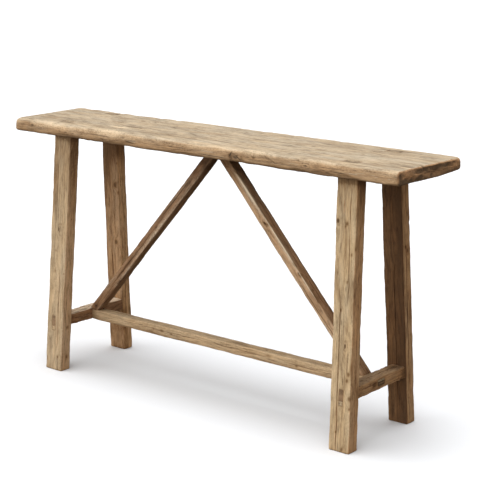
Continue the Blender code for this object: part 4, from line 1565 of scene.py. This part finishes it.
# each leg's broad faces, then its narrow faces; the narrow faces' colours are partly painted light and
# shade
LEG_BASES = {
    "front_left": ((177, 155, 125), (208, 174, 138)),
    "back_left": ((172, 140, 107), (200, 163, 124)),
    "front_right": ((182, 160, 128), (184, 147, 110)),
    # the back right leg's dark front and inner faces are partly dark wood and partly painted shade
    "back_right": ((104, 77, 52), (178, 144, 109)),
}
# knots on each leg: height, across and out from its middle, and half size
LEG_KNOTS = {
    "front_left": [(0.46, 0.0, -0.020, 0.008)],
    "back_left": [(0.570, 0.020, -0.019, 0.008), (0.375, 0.013, -0.019, 0.008)],
    "front_right": [(0.640, -0.026, -0.021, 0.007), (0.30, 0.010, -0.021, 0.007)],
    "back_right": [(0.52, 0.030, 0.004, 0.008)],
}


def on_leg(corner, places):
    """Knots on a leg in its own axes, each longer along the grain."""
    facts = LEG_FACTS[corner]
    turn = legs[corner].matrix_world.inverted()
    found = []
    for z, u, v, size in places:
        x = facts["foot"][0] + facts["lean"][0] * z + u
        y = facts["foot"][1] + facts["lean"][1] * z + v
        found.append((tuple(turn @ Vector((x, y, z))), (1.6 * size, size, size)))
    return found


for number, (corner, (base, side)) in enumerate(LEG_BASES.items()):
    finish = old_wood(
        corner + "_wood", family(base, TENON_END), family(side), lift=1.7 * number,
        streak=0.8 if "front" in corner else 1.0, knots=on_leg(corner, LEG_KNOTS[corner]),
    )
    # on the back right leg the dark family, partly painted shade, goes on its front and inner faces
    if corner == "back_right":
        dress(legs[corner], finish, (0.75, 0.75, 0))
    else:
        dress(legs[corner], finish, X_AXIS, both_ways=True)

# %% [markdown]
# ### The stretchers' and braces' finish
#
# Each stretcher has its own brown, and the left one's upper face is much paler than its
# sides, which is painted light. The braces are thin battens of a redder wood with a knot or
# two, and the right one has a pale stretch along one arris, partly bare wood and partly
# painted highlight.

# %% Dress the stretchers
# the left stretcher's pale upper face is painted light
SIDE_BASES = {"left": ((150, 114, 84), (240, 214, 186)), "right": ((160, 126, 92), (150, 124, 96))}
for number, (end, bar) in enumerate(side_stretchers.items()):
    base, top_base = SIDE_BASES[end]
    face = family(base, (150, 122, 94))
    finish = old_wood(end + "_side_wood", face, family(top_base), lift=4.1 + number)
    dress(bar, finish, Z_AXIS)
face = family((178, 153, 121), (140, 112, 84))
finish = old_wood("long_wood", face, family((176, 152, 121)), lift=6.6, streak=0.85, mottled=0.3)
dress(long_bar, finish, Z_AXIS)

# %% Dress the braces
BRACE_FRONT = -0.018
BRACE_BASES = {"left": ((138, 107, 80), (144, 113, 85)), "right": ((166, 136, 106), (156, 122, 91))}
# bare wood on rubbed arrises; on the right brace it is partly a painted highlight
BARE_WOOD_AND_HIGHLIGHT = (224, 210, 186)
BRACE_KNOTS = {
    "left": [((-0.30, 0.002, BRACE_FRONT), (0.010, 0.006, 0.01))],
    "right": [((-0.202, 0.002, BRACE_FRONT), (0.012, 0.006, 0.01)),
              ((-0.382, 0.010, BRACE_FRONT), (0.009, 0.006, 0.01))],
}
BRACE_MARKS = {
    "left": [((-0.16, -0.004, BRACE_FRONT), (0.10, 0.0020, 0.01), 0.0, 0.8)],
    # pale lines along the right brace's upper arris, partly wear and partly painted highlight
    "right": [
        ((-0.094, 0.0105, BRACE_FRONT), (0.066, 0.0036, 0.008), 0.0, -1.0),
        ((-0.270, 0.0125, BRACE_FRONT), (0.100, 0.0018, 0.006), 0.0, -0.9),
        ((-0.420, 0.0115, BRACE_FRONT), (0.060, 0.0016, 0.006), 0.0, -0.7),
    ],
}
for number, (end, bar) in enumerate(braces.items()):
    base, upper_base = BRACE_BASES[end]
    finish = old_wood(
        end + "_brace_wood", family(base, None, BARE_WOOD_AND_HIGHLIGHT), family(upper_base), lift=8.3 + number,
        knots=BRACE_KNOTS[end], marks=BRACE_MARKS[end],
    )
    dress(bar, finish, Z_AXIS)

# %% [markdown]
# ## Wedges and nails
#
# These small pieces already have the right shape, so the packed ones stay and only get a
# finish. The wedges show their end grain. The nails are old iron, dark with rust.

# %% Finish the wedges
# A wedge's grain runs the way it was driven.
wedge_colours = family((168, 148, 120))
for node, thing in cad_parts.items():
    if node.endswith("_wedge"):
        grain = "x" if node.startswith("long") else "y" if "stretcher" in node else "z"
        finish = old_wood(
            node + "_wood", wedge_colours, wedge_colours, grain=grain, lift=float(len(node))
        )
        refinish(thing, finish)


# %% Finish the nails
def rusty_iron(name):
    """Nearly black scale with orange-brown rust over it. The rust is rough and no metal."""
    r = Recipe(name)
    coords = r.node("TexCoord").outputs["Object"]
    blotch = r.noise(coords, (260.0, 260.0, 260.0), 4.0, 0.6)
    crust = r.noise(coords, (1500.0, 1500.0, 1500.0), 3.0, 0.6)
    ramp = r.node("ValToRGB", {"Fac": r.span(blotch, 0.35, 0.68)})
    ramp.color_ramp.elements[0].color = (0.030, 0.024, 0.021, 1.0)
    ramp.color_ramp.elements[1].color = (0.150, 0.058, 0.024, 1.0)
    r.put(r.shader.inputs["Base Color"], ramp.outputs["Color"])
    r.put(r.shader.inputs["Roughness"], r.span(blotch, 0.35, 0.68, 0.45, 0.9))
    r.put(r.shader.inputs["Metallic"], r.span(blotch, 0.40, 0.60, 0.8, 0.1))
    r.bump(crust, 0.6, 0.3 * MM)
    return r.material


iron = rusty_iron("rusty_iron")
nails = [thing for node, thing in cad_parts.items() if "_nail_" in node]
for nail in nails:
    refinish(nail, iron)
print(len(nails), "nails")

# %% [markdown]
